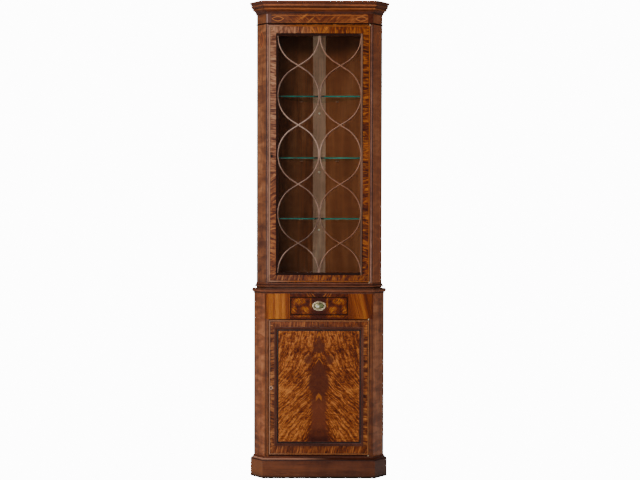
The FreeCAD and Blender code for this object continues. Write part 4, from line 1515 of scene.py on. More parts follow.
def turned(profile: np.ndarray, centre: Point, across: float = 1.0, steps: int = 40) -> np.ndarray:
    """A profile turned about a line that runs from front to back.

    Args:
        profile: rows of (radius, distance in front of the centre).
        centre: (x, y, z) of the line's start.
        across: how much wider than high the turning is.
        steps: parts of a full turn.

    Returns:
        The grid, profile points by steps by (x, y, z).
    """
    angle = np.linspace(0.0, 2.0 * np.pi, steps, endpoint=False)
    x = centre[0] + across * profile[:, :1] * np.cos(angle)
    z = centre[2] + profile[:, :1] * np.sin(angle)
    y = np.broadcast_to(centre[1] - profile[:, 1:], x.shape)
    return np.stack([x, y, z], axis=-1)


def finish_piece(piece: Piece, body: str, slot: str, node: str,
                 *materials: Material) -> None:
    """Gives a new piece its finish and its body, and hides the node it stands for.

    Args:
        piece: the piece.
        body: the body it rides on.
        slot: the material slot it counts as; not used.
        node: the CAD node it stands for.
        materials: its finishes, in the order of its faces' slots.
    """
    for material in materials:
        piece.data.materials.append(material)
    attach(piece, body)
    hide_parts(node)
    LOG.info("%s: %d faces on %s", piece.name, len(piece.data.polygons), body)


def soften(node: Piece, ease: float) -> None:
    """Joins a node's loose triangles, makes its flat faces whole and rounds its arrises.

    Args:
        node: the node.
        ease: the rounding's width in millimetres.
    """
    weld = node.modifiers.new("weld", "WELD")
    weld.merge_threshold = 1e-6
    plain = node.modifiers.new("plain", "DECIMATE")
    plain.decimate_type = "DISSOLVE"
    plain.angle_limit = math.radians(1.0)
    arris = node.modifiers.new("arris", "BEVEL")
    arris.width = ease * MM
    arris.segments = 2
    arris.limit_method = "ANGLE"
    arris.angle_limit = math.radians(40.0)
    arris.harden_normals = True


def dress(names: list[str], material: Material, ease: float = 0.0) -> None:
    """Gives CAD nodes a finish and takes the keenness off their arrises.

    Args:
        names: the nodes.
        material: their finish.
        ease: the width of the softened arris in millimetres, or zero for none.
    """
    for name in names:
        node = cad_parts[name]
        node.data.materials.clear()
        node.data.materials.append(material)
        if ease > 0.0:
            soften(node, ease)
        LOG.info("%s: %s", name, material.name)


@dataclass(frozen=True)
class Moulding:
    """A moulding round a case's front and cants, mitred at the two front corners."""

    node: str
    plan: CasePlan
    shares: list[Corner]
    out: float

    def section(self) -> np.ndarray:
        """The profile: shares of the projection and of the height that the node has."""
        low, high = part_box(self.node)
        base, tall = low.z / MM, (high.z - low.z) / MM
        return outline(sized(self.shares, self.out, tall), 9) + np.array([0.0, base])

    def build(self) -> Piece:
        """Carries the profile along the run. At distance out from the face, the front corner is
        moved sideways by out times the tangent of 22.5 degrees and the cant's end by out over the
        root of two, both ways."""
        section = self.section()
        out, z = section[:, 0], section[:, 1]
        plan = self.plan
        corner = np.stack([plan.half + MITRE_SLOPE * out, plan.face - out, z], axis=-1)
        end = np.stack([plan.cant_x + CANT_SLOPE * out, plan.cant_y - CANT_SLOPE * out, z], axis=-1)
        flip = np.array([-1.0, 1.0, 1.0])
        rows = np.stack([end * flip, corner * flip, corner, end])
        return Shell().tube(rows, wear=exposure_of(section)).build(f"{self.node}_run")


# The mouldings' profiles: shares of the projection and of the height, and an arc's bulge

CORNICE = [
    (0.0, 0.0), (0.10, 0.0), (0.10, 0.04, -0.32), (0.50, 0.30), (0.50, 0.34), (0.56, 0.34, 0.75),
    (0.56, 0.45), (0.62, 0.45, 0.30), (0.82, 0.62, -0.30), (0.95, 0.84), (1.0, 0.84), (1.0, 1.0),
    (0.0, 1.0),
]
NECK = [(0.0, 0.0), (0.45, 0.0, 0.85), (0.45, 1.0), (0.0, 1.0)]
BASE = [
    (0.0, 0.0), (0.78, 0.0, 0.80), (0.78, 0.34), (0.70, 0.34), (0.70, 0.42, -0.36), (0.30, 0.88),
    (0.30, 1.0), (0.0, 1.0),
]
WAIST = [
    (0.0, 0.0), (0.20, 0.0, -0.38), (0.55, 0.30), (0.55, 0.38), (0.70, 0.38, 0.62), (0.70, 0.90),
    (0.62, 0.90), (0.62, 1.0), (0.0, 1.0),
]
PLINTH = [
    (0.0, 0.0), (0.98, 0.0), (0.98, 0.16), (0.90, 0.16, 0.30), (0.62, 0.50, -0.30), (0.28, 0.78),
    (0.28, 0.86), (0.16, 0.86), (0.16, 1.0), (0.0, 1.0),
]
PANEL_TRIM = [
    (0.0, 0.0), (0.0, 1.0), (0.10, 1.0), (0.10, 0.82, -0.34), (0.42, 0.45, 0.30), (0.80, 0.26),
    (0.80, 0.16, -0.30), (1.0, 0.0),
]
OPENING_BEAD = [
    (0.0, 0.0), (0.0, 0.62), (0.10, 1.0, -0.20), (0.24, 0.94), (1.0, 0.06), (1.0, 0.0),
]
GLAZING_BAR = [
    (1.0, 0.0), (1.0, 0.30), (0.30, 0.90, 0.45), (-0.30, 0.90), (-1.0, 0.30), (-1.0, 0.0),
]


# The pull's post: its radius and how far out it is, in millimetres

POST = [
    (0.0, 0.2), (3.6, 0.3), (3.6, 1.4), (2.6, 2.2), (2.0, 3.0), (2.3, 3.6), (3.1, 4.4), (3.5, 5.4),
    (3.1, 6.6), (2.0, 7.6), (0.9, 8.0), (0.0, 8.1),
]


# Painted light and shade on the mouldings, from shaded hollows to lit edges, by height in metres

CORNICE_LIGHT_AND_SHADE = (
    (1.932, 0.10), (1.939, 0.12), (1.941, 0.50), (1.945, 0.55), (1.9465, 0.95), (1.951, 0.90),
    (1.953, 0.20), (1.959, 0.12), (1.9605, 0.95), (1.9645, 0.85), (1.966, 0.30), (1.975, 0.35),
    (1.977, 0.75), (1.980, 0.85),
)
# Near black from 0.787 to 0.7975: painted shadow in the gap between the waist and the base moulding
RUN_LIGHT_AND_SHADE = (
    (0.0725, 0.10), (0.0805, 0.12), (0.0835, 0.55), (0.0885, 0.45), (0.770, 0.10), (0.776, 0.12),
    (0.7775, 0.75), (0.7815, 0.85), (0.7845, 0.30), (0.7870, 0.03), (0.7975, 0.03), (0.7990, 0.15),
    (0.800, 0.80), (0.8015, 0.70), (0.803, 0.10), (0.8075, 0.15), (0.8095, 0.50), (0.8117, 0.80),
)


# Every finish

class Palette:
    """Every finish in the cabinet, made once."""

    def __init__(self) -> None:
        """Makes the finishes, kind by kind."""
        self.make_fronts()
        self.make_mouldings()
        self.make_insides()
        self.make_bandings()
        self.make_figured()
        self.make_fittings()

    def make_fronts(self) -> None:
        """The plain timbers of the two fronts."""
        self.upper_cant = CantTimber(
            "mahogany_upper_cant", (98, 50, 30), (160, 92, 52), (212, 138, 88), mottle=0.5,
            streak=0.4, coat=0.2, gloss=0.45, inlay_z=1.828, right=(196, 104, 60),
            right_share=0.4).build()
        self.lower_cant = CantTimber(
            "mahogany_lower_cant", (120, 62, 36), (188, 108, 64), (238, 156, 102), mottle=0.5,
            streak=0.4, coat=0.2, gloss=0.45, plan=LOWER, corner_in=0.0005, line_share=0.25,
            right_share=0.25).build()
        self.upper_stile = StileTimber(
            "mahogany_upper_stile", (110, 66, 50), (162, 108, 86), (192, 140, 116),
            line_from=0.2195, line_to=0.2230).build()
        self.lower_stile = StileTimber(
            "mahogany_lower_stile", (84, 38, 18), (142, 76, 36), (168, 98, 52),
            line_from=0.2200, line_to=0.2240, line_share=0.35).build()
        self.plinth = PlinthTimber(
            "mahogany_plinth", (88, 44, 26), (122, 64, 36), (148, 82, 48), Grain.LEVEL,
            mottle=0.25).build()
        self.plain = Timber(
            "mahogany_rail", (70, 28, 16), (112, 54, 28), (140, 76, 42), Grain.LEVEL,
            mottle=0.2).build()

    def make_mouldings(self) -> None:
        """The timbers whose grain follows a moulding, a bead or a bar."""
        self.run = RunTimber(
            "mahogany_run", (46, 18, 11), (132, 64, 34), (212, 134, 92), Grain.ALONG_RUN,
            edge_rubbing_and_light=0.3, lit_and_shaded_heights=RUN_LIGHT_AND_SHADE).build()
        self.cornice = CorniceTimber(
            "mahogany_cornice", (46, 18, 10), (138, 66, 32), (224, 130, 66), Grain.ALONG_RUN,
            edge_rubbing_and_light=0.3, lit_and_shaded_heights=CORNICE_LIGHT_AND_SHADE).build()
        self.bar = BarTimber(
            "mahogany_bar", (84, 50, 36), (218, 174, 150), (244, 208, 186), Grain.ALONG_RUN,
            mottle=0.1, streak=0.15, edge_rubbing_and_light=0.2).build()
        # The bead's dark colours are painted shade; its right side carries painted light
        self.bead = BeadTimber(
            "mahogany_bead", (26, 11, 8), (50, 25, 18), (156, 112, 90), Grain.ALONG_RUN,
            mottle=0.0, streak=0.2, roughness=0.5, coat=0.0, gloss=0.08).build()
        self.panel_trim = PanelTrimTimber(
            "mahogany_panel_trim", (70, 30, 18), (110, 56, 36), (136, 78, 54), Grain.ALONG_RUN,
            mottle=0.1).build()
        self.dark = Timber(
            "mahogany_dark", (20, 8, 5), (42, 18, 11), (92, 48, 30), Grain.ALONG_RUN, coat=0.0,
            gloss=0.1, edge_rubbing_and_light=0.2).build()

    def make_insides(self) -> None:
        """The timbers inside and behind."""
        self.inside = BackTimber(
            "mahogany_inside", (128, 72, 50), (166, 100, 68), (190, 122, 86), mottle=0.1,
            streak=0.35, roughness=0.5, coat=0.0).build()
        self.corner = CornerTimber(
            "corner_strip", (172, 122, 98), (208, 154, 128), (228, 182, 156), mottle=0.15,
            streak=0.3, roughness=0.5, coat=0.0).build()
        self.stud = Timber(
            "turned_stud", (216, 170, 150), (255, 232, 214), (255, 244, 232), streak=0.1).build()
        self.board = Timber(
            "carcase_board", (110, 76, 46), (160, 116, 74), (186, 142, 96), Grain.LEVEL,
            mottle=0.1, roughness=0.6, coat=0.0).build()

    def make_bandings(self) -> None:
        """The veneers of the two doors' frames."""
        # The upper keyhole's near-black colour is painted shade of the hole
        upper_keyhole = Spot(-0.1985, 1.342, 0.0036, 0.0058), (22, 11, 7)
        lower_keyhole = Spot(-0.1995, 0.3755, 0.0072, 0.0086), (240, 188, 156)
        self.upper_band = Banding(
            "upper_banding", UPPER.face * MM, inner_x=0.181, inner_low=0.846, inner_high=1.8515,
            strip_x=0.2053, strip_low=0.8225, strip_high=1.8800, strip_wide=0.0058,
            dark=(58, 14, 5), ground=(140, 60, 14), light=(200, 112, 36),
            strip_dark=(156, 78, 22), strip_light=(196, 108, 40), left_light=0.85, quirk=0.45,
            blotch=70.0, fan=0.85, shaded=0.2, gap_shade_x=0.2088, keyholes=(upper_keyhole,)).build()
        self.lower_band = Banding(
            "lower_banding", LOWER.face * MM, inner_x=0.186, inner_low=0.1318, inner_high=0.630,
            strip_x=0.2040, strip_low=0.1000, strip_high=0.6540, strip_wide=0.0030,
            dark=(66, 24, 8), ground=(154, 74, 28), light=(224, 138, 66),
            strip_dark=(176, 98, 48), strip_light=(220, 146, 88), calm=0.5, inner_shade=0.35,
            left_light=0.6, keyholes=(lower_keyhole,)).build()

    def make_figured(self) -> None:
        """The figured veneers."""
        self.panel = CrotchPanel(
            "crotch_panel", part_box("lower_door_panel")[0].y, top=0.6125, dark=(88, 32, 14),
            ground=(160, 80, 32), light=(236, 144, 68), heart=(94, 42, 26),
            spread=((0.0, 0.0), (0.08, 0.03), (0.16, 0.13), (0.24, 0.36), (0.32, 0.64),
                    (0.40, 0.86), (0.47, 1.0)),
            heart_half=((0.0, 0.06), (0.020, 0.16), (0.035, 0.08), (0.050, 0.30), (0.065, 0.45),
                        (0.082, 0.42), (0.095, 0.12), (0.118, 0.08), (0.136, 0.24), (0.155, 0.42),
                        (0.180, 0.62), (0.220, 0.78), (0.250, 0.62), (0.266, 0.40), (0.285, 0.55),
                        (0.390, 0.50), (0.420, 0.62), (0.465, 0.70)),
            lobe=Spot(0.045, 0.120, 0.018, 0.021, 0.85),
            chevrons=((0.010, 0.006, 0.0050), (0.098, 0.003, 0.0040),
                      (0.114, 0.013, 0.0016), (0.268, 0.009, 0.0055))).build()
        self.drawer = DrawerVeneer(
            "drawer_veneer", LOWER.face * MM, middle_z=DRAWER_MIDDLE_Z * MM, end_x=0.1210,
            dark=(70, 22, 12), ground=(142, 62, 14), light=(224, 136, 44),
            ends=((-0.226, 0.45), (-0.216, 0.50), (-0.203, 0.85), (-0.190, 0.60), (-0.175, 1.0),
                  (-0.160, 0.65), (-0.146, 0.85), (-0.137, 0.55), (-0.131, 0.30), (-0.122, 0.50),
                  (0.119, 0.20), (0.135, 0.28), (0.146, 0.52), (0.160, 0.50), (0.182, 0.72),
                  (0.194, 0.45), (0.201, 0.06), (0.210, 0.15), (0.226, 0.40)),
            patches=(Spot(0.083, 0.019, 0.024, 0.014, 0.9), Spot(0.060, -0.018, 0.017, 0.016, 0.85),
                     Spot(0.106, -0.018, 0.012, 0.013, 0.7), Spot(0.034, 0.014, 0.005, 0.022, 0.7),
                     Spot(0.104, 0.010, 0.010, 0.020, 0.4), Spot(0.070, -0.043, 0.050, 0.005, 0.6))
        ).build()
        self.frieze = FriezeVeneer(
            "frieze_veneer", middle_z=1.9115, string_x=0.199, string_half=0.0146, oval_x=0.174,
            oval_long=0.0235, oval_half=0.0088, dark=(84, 32, 14), ground=(136, 66, 30),
            light=(190, 108, 52)).build()

    def make_fittings(self) -> None:
        """The brass and the glass."""
        self.brass = Brass("brass", (255, 232, 190), (214, 172, 116), metal=0.8).build()
        self.plate = PlateBrass(
            "brass_plate", (255, 234, 200), (184, 172, 128), 0.24, metal=0.85).build()
        # The locks' brass is darkened, the upper's to near black: painted shade of their keyholes
        self.upper_lock = LockBrass(
            "brass_upper_lock", (34, 20, 12), (22, 13, 8), 0.5, metal=0.3,
            face=UPPER.face * MM).build()
        self.lower_lock = LockBrass(
            "brass_lower_lock", (70, 46, 28), (40, 26, 16), 0.5, metal=0.3,
            face=LOWER.face * MM).build()
        self.pane = PaneGlass("pane", (246, 250, 247)).build()
        self.shelf_edge = EdgeGlass("shelf_edge", (26, 84, 74), (54, 160, 142)).build()


# Upper case

@dataclass(frozen=True)
class GlassShelf:
    """A glass shelf cut to the corner, with its arrises ground."""

    node: str
    front_half: float = 232.79
    side_half: float = 241.86
    rear_half: float = 27.73
    front: float = -77.5
    side: float = -68.43
    rear: float = 145.7
    middle: float = 20.0
    arris: float = 0.7

    def build(self) -> Piece:
        """Carries the shelf's outline upwards, drawn in a little at its two faces."""
        low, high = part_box(self.node)
        plan = outline([
            (-self.front_half, self.front), (self.front_half, self.front),
            (self.side_half, self.side), (self.rear_half, self.rear),
            (-self.rear_half, self.rear), (-self.side_half, self.side)], 3)
        middle = np.array([0.0, self.middle])
        reach = np.abs(plan - middle).max()
        levels = [(low.z / MM, self.arris), (low.z / MM + self.arris, 0.0),
                  (high.z / MM - self.arris, 0.0), (high.z / MM, self.arris)]
        rows = np.stack([
            np.column_stack([middle + (plan - middle) * (1.0 - inset / reach),
                             np.full(len(plan), z)]) for z, inset in levels])
        front_edge = (np.arange(len(plan)) < 3).astype(int)
        shell = Shell().grid(rows, close_columns=True, slot=front_edge).cap(0).cap(-1)
        return shell.build(f"{self.node}_plate", sharp=25.0)


@dataclass(frozen=True)
class Studs:
    """Turned studs on the corner board: a collar, a hollow and a domed head."""

    heights: tuple[float, ...] = (1031.33, 1286.57, 1544.87)
    radius: float = 5.0
    face: float = 146.0
    out: float = 3.0

    def build(self) -> Piece:
        """Turns each stud's profile about its own line."""
        angle = np.linspace(0.0, np.pi / 2.0, 8)
        dome = np.column_stack([0.76 * np.cos(angle), 0.45 + 0.55 * np.sin(angle)])
        profile = np.concatenate([
            np.array([(0.0, 0.0), (1.0, 0.0), (1.0, 0.16), (0.9, 0.3), (0.7, 0.38)]), dome])
        profile = profile * np.array([self.radius, self.out])
        shell = Shell()
        for height in self.heights:
            shell.grid(turned(profile, (0.0, self.face, height), steps=28), close_columns=True)
        return shell.build("corner_stud_heads")


@dataclass
class UpperCase:
    """The glazed case: its boards, frieze, mouldings, shelves and studs."""

    finishes: Palette
    cornice_out: float = 38.5
    neck_out: float = 4.0
    base_out: float = 11.5

    def build(self) -> None:
        """Makes the mouldings, shelves and studs and dresses the boards."""
        f = self.finishes
        for node, shares, out, material in (
                ("cornice", CORNICE, self.cornice_out, f.cornice),
                ("neck_bead", NECK, self.neck_out, f.dark),
                ("base_moulding", BASE, self.base_out, f.run)):
            finish_piece(Moulding(node, UPPER, shares, out).build(), "carcase", "mahogany", node,
                         material)
        for number in (1, 2, 3):
            node = f"glass_shelf_{number}"
            finish_piece(GlassShelf(node).build(), "carcase", "glass", node, f.pane, f.shelf_edge)
        finish_piece(Studs().build(), "carcase", "brass", "corner_studs", f.stud)
        dress(["upper_frieze"], f.frieze, 0.4)
        dress(["upper_cant_left", "upper_cant_right"], f.upper_cant, 0.5)
        dress(["upper_stile_left", "upper_stile_right"], f.upper_stile, 0.3)
        dress(["upper_back_left", "upper_back_right"], f.inside, 0.4)
        dress(["upper_corner_board"], f.corner, 0.4)
        dress(["upper_floor_board", "upper_top_board"], f.plain, 0.4)
        dress(["shelf_pegs"], f.corner)


# Upper door

@dataclass(frozen=True)
class GlazingBars:
    """Glazing bars in interlaced ovals: two columns of four bays, each crossed by a pair of bars.

    A quarter of a bay is a straight run that leaves the crossing at a slope, then an arc that
    brings the bar upright at the bay's edge, furthest from the column's middle line.
    """

    half: float = 175.5
    low: float = 856.0
    high: float = 1841.5
    bays: int = 4
    slope: float = 32.0
    straight: float = 31.06
    steps: int = 22
    face: float = -112.6
    wide: float = 5.5
    proud: float = 7.4
    let_in: float = 2.0

    def quarter(self) -> np.ndarray:
        """Rows of (sideways, upwards) shares of a quarter bay, from the crossing to the edge."""
        angle = np.radians(np.linspace(self.slope, 90.0, self.steps))
        bay = (self.high - self.low) / self.bays / 2.0
        start = self.straight * np.array([np.cos(angle[0]), np.sin(angle[0])])
        radius = (bay - start[1]) / np.cos(angle[0])
        arc = start + radius * np.column_stack([np.sin(angle) - np.sin(angle[0]),
                                                np.cos(angle[0]) - np.cos(angle)])
        run = np.concatenate([start * np.linspace(0.0, 1.0, 5)[:-1, None], arc])
        return run / np.array([self.half / 2.0, bay])

    def path(self, column: float, hand: float) -> np.ndarray:
        """The middle line of one bar, from the bottom of the opening to the top.

        Args:
            column: the x of its column's middle line.
            hand: one if it starts at the left of that line, minus one if at the right.

        Returns:
            The line, rows of (x, y, z).
        """
        bay = (self.high - self.low) / self.bays / 2.0
        quarter = self.quarter()
        up = np.concatenate([-quarter[::-1], quarter[1:]])
        number = np.arange(self.bays)[:, None]
        flip = np.where(number % 2 == 0, hand, -hand)
        x = column + flip * up[None, :, 0] * self.half / 2.0
        z = self.low + bay * (2 * number + 1 + up[None, :, 1])
        rows = np.stack([x, np.full_like(x, self.face), z], axis=-1)
        return np.concatenate([rows[0], *rows[1:, 1:]])

    def build(self) -> Piece:
        """Carries the section, two slanted flanks and a small rounded nose, along each bar."""
        section = outline(sized(GLAZING_BAR, self.wide / 2.0, self.proud), 5)
        reach = self.half + self.let_in
        shell = Shell()
        for column in (-self.half / 2.0, self.half / 2.0):
            for hand in (-1.0, 1.0):
                path = self.path(column, hand)
                rows = swept(path, np.gradient(path, axis=0), section)
                rows[..., 0] = np.clip(rows[..., 0], -reach, reach)
                shell.tube(rows, wear=exposure_of(section))
        return shell.build("upper_door_bars", sharp=40.0)


@dataclass
class UpperDoor:
    """The glazed door: banded frame, bead, bars and pane, with its hinges and lock."""

    finishes: Palette
    bead_half: float = 181.0
    bead_low: float = 846.0
    bead_high: float = 1851.5
    bead_wide: float = 10.0
    bead_out: float = 2.5

    def bead(self) -> Piece:
        """The bead round the opening: it rises at its outer side and slopes down to the glass."""
        section = outline(sized(OPENING_BEAD, self.bead_wide, self.bead_out), 5)
        return framed("upper_door_opening_bead", section, self.bead_half, self.bead_low,
                      self.bead_high, UPPER.face)

    def build(self) -> None:
        """Makes the bead and bars and dresses the frame, pane and fittings."""
        f = self.finishes
        finish_piece(self.bead(), "upper_door", "mahogany", "upper_door_bead", f.bead)
        finish_piece(GlazingBars().build(), "upper_door", "mahogany", "upper_door_tracery", f.bar)
        dress(["upper_door_stile_left", "upper_door_stile_right", "upper_door_rail_top",
               "upper_door_rail_bottom"], f.upper_band, 0.5)
        dress(["upper_door_glass"], f.pane)
        dress(["upper_door_glass_strips"], f.plain)
        dress(["upper_hinge_eyes", "upper_lock_bolt"], f.brass)
        dress(["upper_lock"], f.upper_lock)


# Lower case

@dataclass
class LowerCase:
    """The cupboard case: its boards, rails, plinth and mouldings."""

    finishes: Palette
    waist_out: float = 12.0
    plinth_out: float = 19.0

    def build(self) -> None:
        """Makes the mouldings and dresses the boards."""
        f = self.finishes
        for node, shares, out in (("waist_moulding", WAIST, self.waist_out),
                                  ("plinth_moulding", PLINTH, self.plinth_out)):
            finish_piece(Moulding(node, LOWER, shares, out).build(), "carcase", "mahogany", node,
                         f.run)
        dress(["plinth_boards"], f.plinth, 0.8)
        dress(["lower_cant_left", "lower_cant_right"], f.lower_cant, 0.5)
        dress(["lower_stile_left", "lower_stile_right"], f.lower_stile, 0.3)
        dress(["drawer_rail"], f.drawer, 0.4)
        dress(["lower_bottom_rail"], f.plain, 0.3)
        dress(["lower_back_left", "lower_back_right"], f.inside, 0.4)
        dress(["lower_corner_board"], f.corner, 0.4)
        dress(["lower_floor_board", "lower_shelf", "dust_board", "lower_top_board",
               "drawer_runners"], f.board, 0.3)
        dress(["hinge_pins"], f.brass)


# Lower door

@dataclass
class LowerDoor:
    """The cupboard door: banded frame, sunk flame panel and the moulding round it."""

    finishes: Palette
    open_half: float = 186.0
    open_low: float = 131.8
    open_high: float = 630.0
    trim_wide: float = 17.5
    trim_sink: float = 7.0

    def moulding(self) -> Piece:
        """The moulding round the panel: a fillet, an ogee that falls to the panel, and a bead."""
        section = outline(sized(PANEL_TRIM, self.trim_wide, self.trim_sink), 7)
        face = LOWER.face + self.trim_sink
        return framed("lower_door_panel_moulding", section, self.open_half, self.open_low,
                      self.open_high, face)

    def build(self) -> None:
        """Makes the moulding and dresses the frame, panel and fittings."""
        f = self.finishes
        finish_piece(self.moulding(), "lower_door", "dark_mahogany", "lower_door_moulding",
                     f.panel_trim)
        dress(["lower_door_stile_left", "lower_door_stile_right", "lower_door_rail_top",
               "lower_door_rail_bottom"], f.lower_band, 0.5)
        dress(["lower_door_panel"], f.panel)
        dress(["lower_hinge_eyes", "lower_lock_bolt"], f.brass)
        dress(["lower_lock"], f.lower_lock)


# Drawer and pull

@dataclass
class Drawer:
    """The frieze drawer: a veneered front with a cock bead all round, and its box."""

    finishes: Palette
    half: float = 118.5
    low: float = 681.0
    high: float = 754.5
    back: float = -115.0
    ease: float = 0.3
    bead_wide: float = 2.5
    bead_out: float = 1.2
    bead_root: float = 0.4

    def front(self) -> Piece:
        """The front board: its outline carried from the back to a face with eased arrises."""
        box = outline([(-self.half, self.low), (self.half, self.low), (self.half, self.high),
                       (-self.half, self.high)], 1)
        middle = box.mean(axis=0)
        shrink = 1.0 - self.ease / np.abs(box - middle).max(axis=0)
        rows = [np.column_stack([line[:, 0], np.full(4, y), line[:, 1]]) for line, y in (
            (box, self.back), (box, LOWER.face + self.ease),
            (middle + (box - middle) * shrink, LOWER.face))]
        return Shell().tube(np.stack(rows)).build("drawer_front_board", sharp=20.0)

    def bead(self) -> Piece:
        """The cock bead: a half round standing proud of the face."""
        wide, shoulder, root = self.bead_wide, self.bead_out * 0.2, -self.bead_root
        section = outline([(0.0, root), (0.0, shoulder, -0.42), (wide, shoulder), (wide, root)], 7)
        return framed("drawer_cock_bead", section, self.half, self.low, self.high, LOWER.face)

    def build(self) -> None:
        """Makes the front and bead and dresses the box."""
        f = self.finishes
        finish_piece(self.front(), "drawer", "figured_mahogany", "drawer_front", f.drawer)
        finish_piece(self.bead(), "drawer", "dark_mahogany", "drawer_front", f.dark)
        dress(["drawer_box"], f.board, 0.3)


@dataclass
class Pull:
    """The oval pull: a stamped backplate with a rolled rim, a hollow and a domed middle, a turned
    post at its top and a ring that hangs from the post."""

    finishes: Palette
    centre_z: float = DRAWER_MIDDLE_Z
    face: float = LOWER.face
    dome_share: float = 0.62
    dome_out: float = 2.1
    rim_share: float = 0.93
    rim_out: float = 1.1
    step_share: float = 0.74
    step_wide: float = 0.06
    step_out: float = 0.5
    hollow_out: float = 0.45
    post_z: float = 733.15
    ring_half_x: float = 23.4
    ring_half_z: float = 15.4
    ring_y: float = -137.9
    wire: float = 1.6

    def plate(self) -> Piece:
        """The backplate. At share r of the way out its height is a rolled rim, a flat hollow and a
        dome: the root of one less the square of r over the dome's own reach."""
        reach, ridge = self.dome_share, self.rim_share
        share = np.concatenate([np.linspace(0.0, reach, 14), np.linspace(0.66, 1.0, 14)])
        dome = self.dome_out * np.sqrt(np.clip(1.0 - (share / reach) ** 2, 0.0, 1.0))
        rolled = (share - ridge) / (1.0 - ridge)
        rim = self.rim_out * np.sqrt(np.clip(1.0 - rolled ** 2, 0.0, 1.0))
        step_up = self.step_out * np.clip((share - self.step_share) / self.step_wide, 0.0, 1.0)
        height = self.hollow_out + np.maximum(dome * (share < reach), rim + step_up)
        height[-1] = self.step_out
        profile = np.column_stack([share * PLATE_HALF_Z, height])
        rows = turned(profile, (0.0, self.face, self.centre_z), across=PLATE_HALF_X / PLATE_HALF_Z,
                      steps=72)
        back = rows[-1:].copy()
        back[..., 1] = self.face
        middle = np.broadcast_to(np.array([0.0, self.face, self.centre_z]), back.shape)
        shell = Shell().grid(np.concatenate([rows, back, middle]), close_columns=True)
        shell.grid(turned(np.array(POST), (0.0, self.face, self.post_z), steps=32),
                   close_columns=True)
        return shell.build("pull_oval_plate", sharp=38.0)

    def ring(self) -> Piece:
        """The ring: a round wire carried round an oval that is flat at its top, where it passes
        through the post."""
        corners = [(0.0, 1.0), (0.197, 1.0, -0.2825), (0.953, 0.294, -0.3298),
                   (0.869, -0.468, -0.403), (-0.869, -0.468, -0.3298), (-0.953, 0.294, -0.2825),
                   (-0.197, 1.0)]
        flat = outline(corners, 14) * np.array([self.ring_half_x, self.ring_half_z])
        path = np.column_stack([flat[:, 0], np.full(len(flat), self.ring_y),
                                self.centre_z + flat[:, 1]])
        heading = np.roll(path, -1, axis=0) - np.roll(path, 1, axis=0)
        angle = np.linspace(0.0, 2.0 * np.pi, 16, endpoint=False)
        section = np.column_stack([np.cos(angle), np.sin(angle)])
        rows = swept(path, heading, section * self.wire)
        shell = Shell().grid(rows, close_rows=True, close_columns=True)
        return shell.build("pull_bail_ring")

    def build(self) -> None:
        """Makes the plate and the ring."""
        f = self.finishes
        finish_piece(self.plate(), "drawer", "brass", "pull_backplate", f.plate)
        finish_piece(self.ring(), "pull", "brass", "pull_ring", f.brass)


# Studio

@dataclass(frozen=True)
class Lamp:
    """A soft rectangular lamp."""

    name: str
    place: Point
    target: Point
    wide: float
    high: float
    power: float

    def build(self) -> None:
        """Adds the lamp, facing its target."""
        data = bpy.data.lights.new(self.name, "AREA")
        data.shape = "RECTANGLE"
        data.size, data.size_y = self.wide, self.high
        data.energy = self.power
        lamp = bpy.data.objects.new(self.name, data)
        lamp.location = self.place
        aim = Vector(self.target) - Vector(self.place)
        lamp.rotation_euler = aim.to_track_quat("-Z", "Y").to_euler()
        bpy.context.scene.collection.objects.link(lamp)


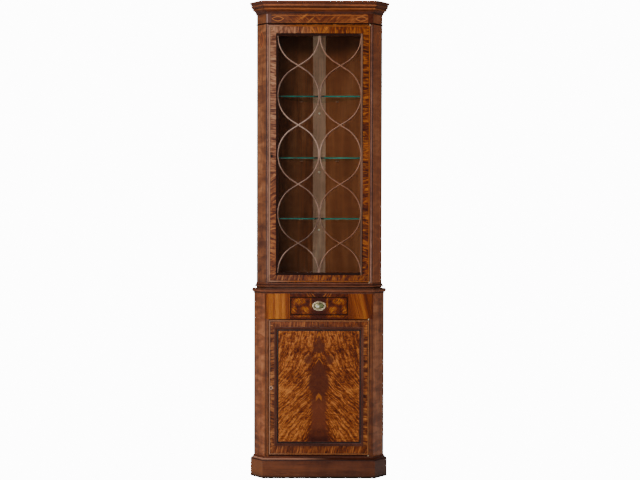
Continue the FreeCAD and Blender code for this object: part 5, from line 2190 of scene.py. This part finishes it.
@dataclass(frozen=True)
class Studio:
    """A plain pale floor, soft lamps at both sides and above, and the camera."""

    eye: Point = (-0.01274, -4.5, 1.09201)
    down: float = 1.3
    turn: float = -0.2104
    roll: float = 0.14
    lens: float = 59.078
    white: float = 13.0
    dim: float = 0.06
    floor_z: float = -0.3

    def camera(self) -> None:
        """The camera where the photograph was taken from."""
        data = bpy.data.cameras.new("camera")
        data.lens = self.lens
        data.sensor_width = 36.0
        data.clip_end = 60.0
        camera = bpy.data.objects.new("camera", data)
        camera.matrix_world = (
            Matrix.Translation(self.eye) @ Matrix.Rotation(math.radians(self.turn), 4, "Z")
            @ Matrix.Rotation(math.radians(90.0 - self.down), 4, "X")
            @ Matrix.Rotation(math.radians(self.roll), 4, "Z"))
        bpy.context.scene.collection.objects.link(camera)
        bpy.context.scene.camera = camera

    def floor(self) -> None:
        """The floor: a wide disc, white to the camera so that it runs into the backdrop."""
        angle = np.linspace(0.0, 2.0 * np.pi, 64, endpoint=False)
        reach = np.tile([[0.0], [1500.0], [6000.0], [30000.0]], len(angle))
        rows = np.stack([reach * np.cos(angle), reach * np.sin(angle),
                         np.full(reach.shape, self.floor_z)], axis=-1)
        disc = Shell().grid(rows, close_columns=True).build("floor")
        g = Graph("floor_white")
        x, y, _ = g.place()
        cloud = g.noise(x * 3.0, y * 3.0, 0.0, 2.0)
        shader = g.node("ShaderNodeBsdfPrincipled")
        g.feed(g.mix(cloud, (236, 236, 235), (242, 242, 241)), shader.inputs["Base Color"])
        shader.inputs["Roughness"].default_value = 0.9
        glow = g.node("ShaderNodeEmission")
        glow.inputs["Strength"].default_value = self.white
        seen = g.node("ShaderNodeLightPath").outputs["Is Camera Ray"]
        blend = g.blend(seen, shader.outputs["BSDF"], glow.outputs["Emission"])
        disc.data.materials.append(g.end(blend))

    def backdrop(self) -> None:
        """The surroundings: white behind the cabinet, dim in what it mirrors."""
        world = bpy.data.worlds.new("studio")
        world.use_nodes = True
        tree = world.node_tree
        tree.nodes.clear()
        path = tree.nodes.new("ShaderNodeLightPath")
        blend = tree.nodes.new("ShaderNodeMixShader")
        dim, bright = (tree.nodes.new("ShaderNodeBackground") for _ in range(2))
        dim.inputs["Strength"].default_value = self.dim
        bright.inputs["Strength"].default_value = self.white
        for shade in (dim, bright):
            shade.inputs["Color"].default_value = (1.0, 1.0, 1.0, 1.0)
        out = tree.nodes.new("ShaderNodeOutputWorld")
        tree.links.new(path.outputs["Is Camera Ray"], blend.inputs[0])
        tree.links.new(dim.outputs["Background"], blend.inputs[1])
        tree.links.new(bright.outputs["Background"], blend.inputs[2])
        tree.links.new(blend.outputs["Shader"], out.inputs["Surface"])
        bpy.context.scene.world = world

    def build(self) -> None:
        """Sets up the floor, the surroundings, the lamps and the camera."""
        self.floor()
        self.backdrop()
        middle = (0.0, 0.0, 1.0)
        for lamp in (
                Lamp("left_key", (-1.35, -1.75, 1.45), (0.0, -0.1, 1.0), 0.6, 2.2, 9.0),
                Lamp("front_left", (-1.15, -3.4, 1.5), middle, 0.6, 2.2, 20.0),
                Lamp("high_left", (-1.5, -2.4, 3.6), (0.0, 0.0, 1.1), 1.8, 1.2, 20.0),
                Lamp("front_fill", (1.5, -3.4, 1.3), middle, 0.9, 1.8, 14.0),
                Lamp("left_softbox", (-2.9, 0.0, 1.1), middle, 1.2, 2.6, 3.0),
                Lamp("right_softbox", (2.9, 0.0, 1.1), middle, 1.2, 2.6, 1.6),
                Lamp("left_wash", (-0.66, -4.3, 1.9), (-0.2, 0.0, 1.4), 0.54, 1.7, 3.6),
                Lamp("pull_glint", (-0.1, -4.3, 0.36), (0.0, -0.13, 0.72), 0.5, 0.5, 3.0),
                Lamp("rear_left", (-2.4, 2.8, 2.2), middle, 1.6, 1.6, 18.0),
                Lamp("rear_right", (2.4, 2.8, 2.2), middle, 1.6, 1.6, 18.0)):
            lamp.build()
        self.camera()


def main() -> None:
    """Builds the cabinet piece by piece, then the studio."""
    logging.basicConfig(level=logging.INFO, format="%(message)s")
    finishes = Palette()
    for assembly in (UpperCase(finishes), UpperDoor(finishes), LowerCase(finishes),
                     LowerDoor(finishes), Drawer(finishes), Pull(finishes)):
        assembly.build()
    Studio().build()
    bpy.context.view_layer.update()


if __name__ == "__main__":
    main()
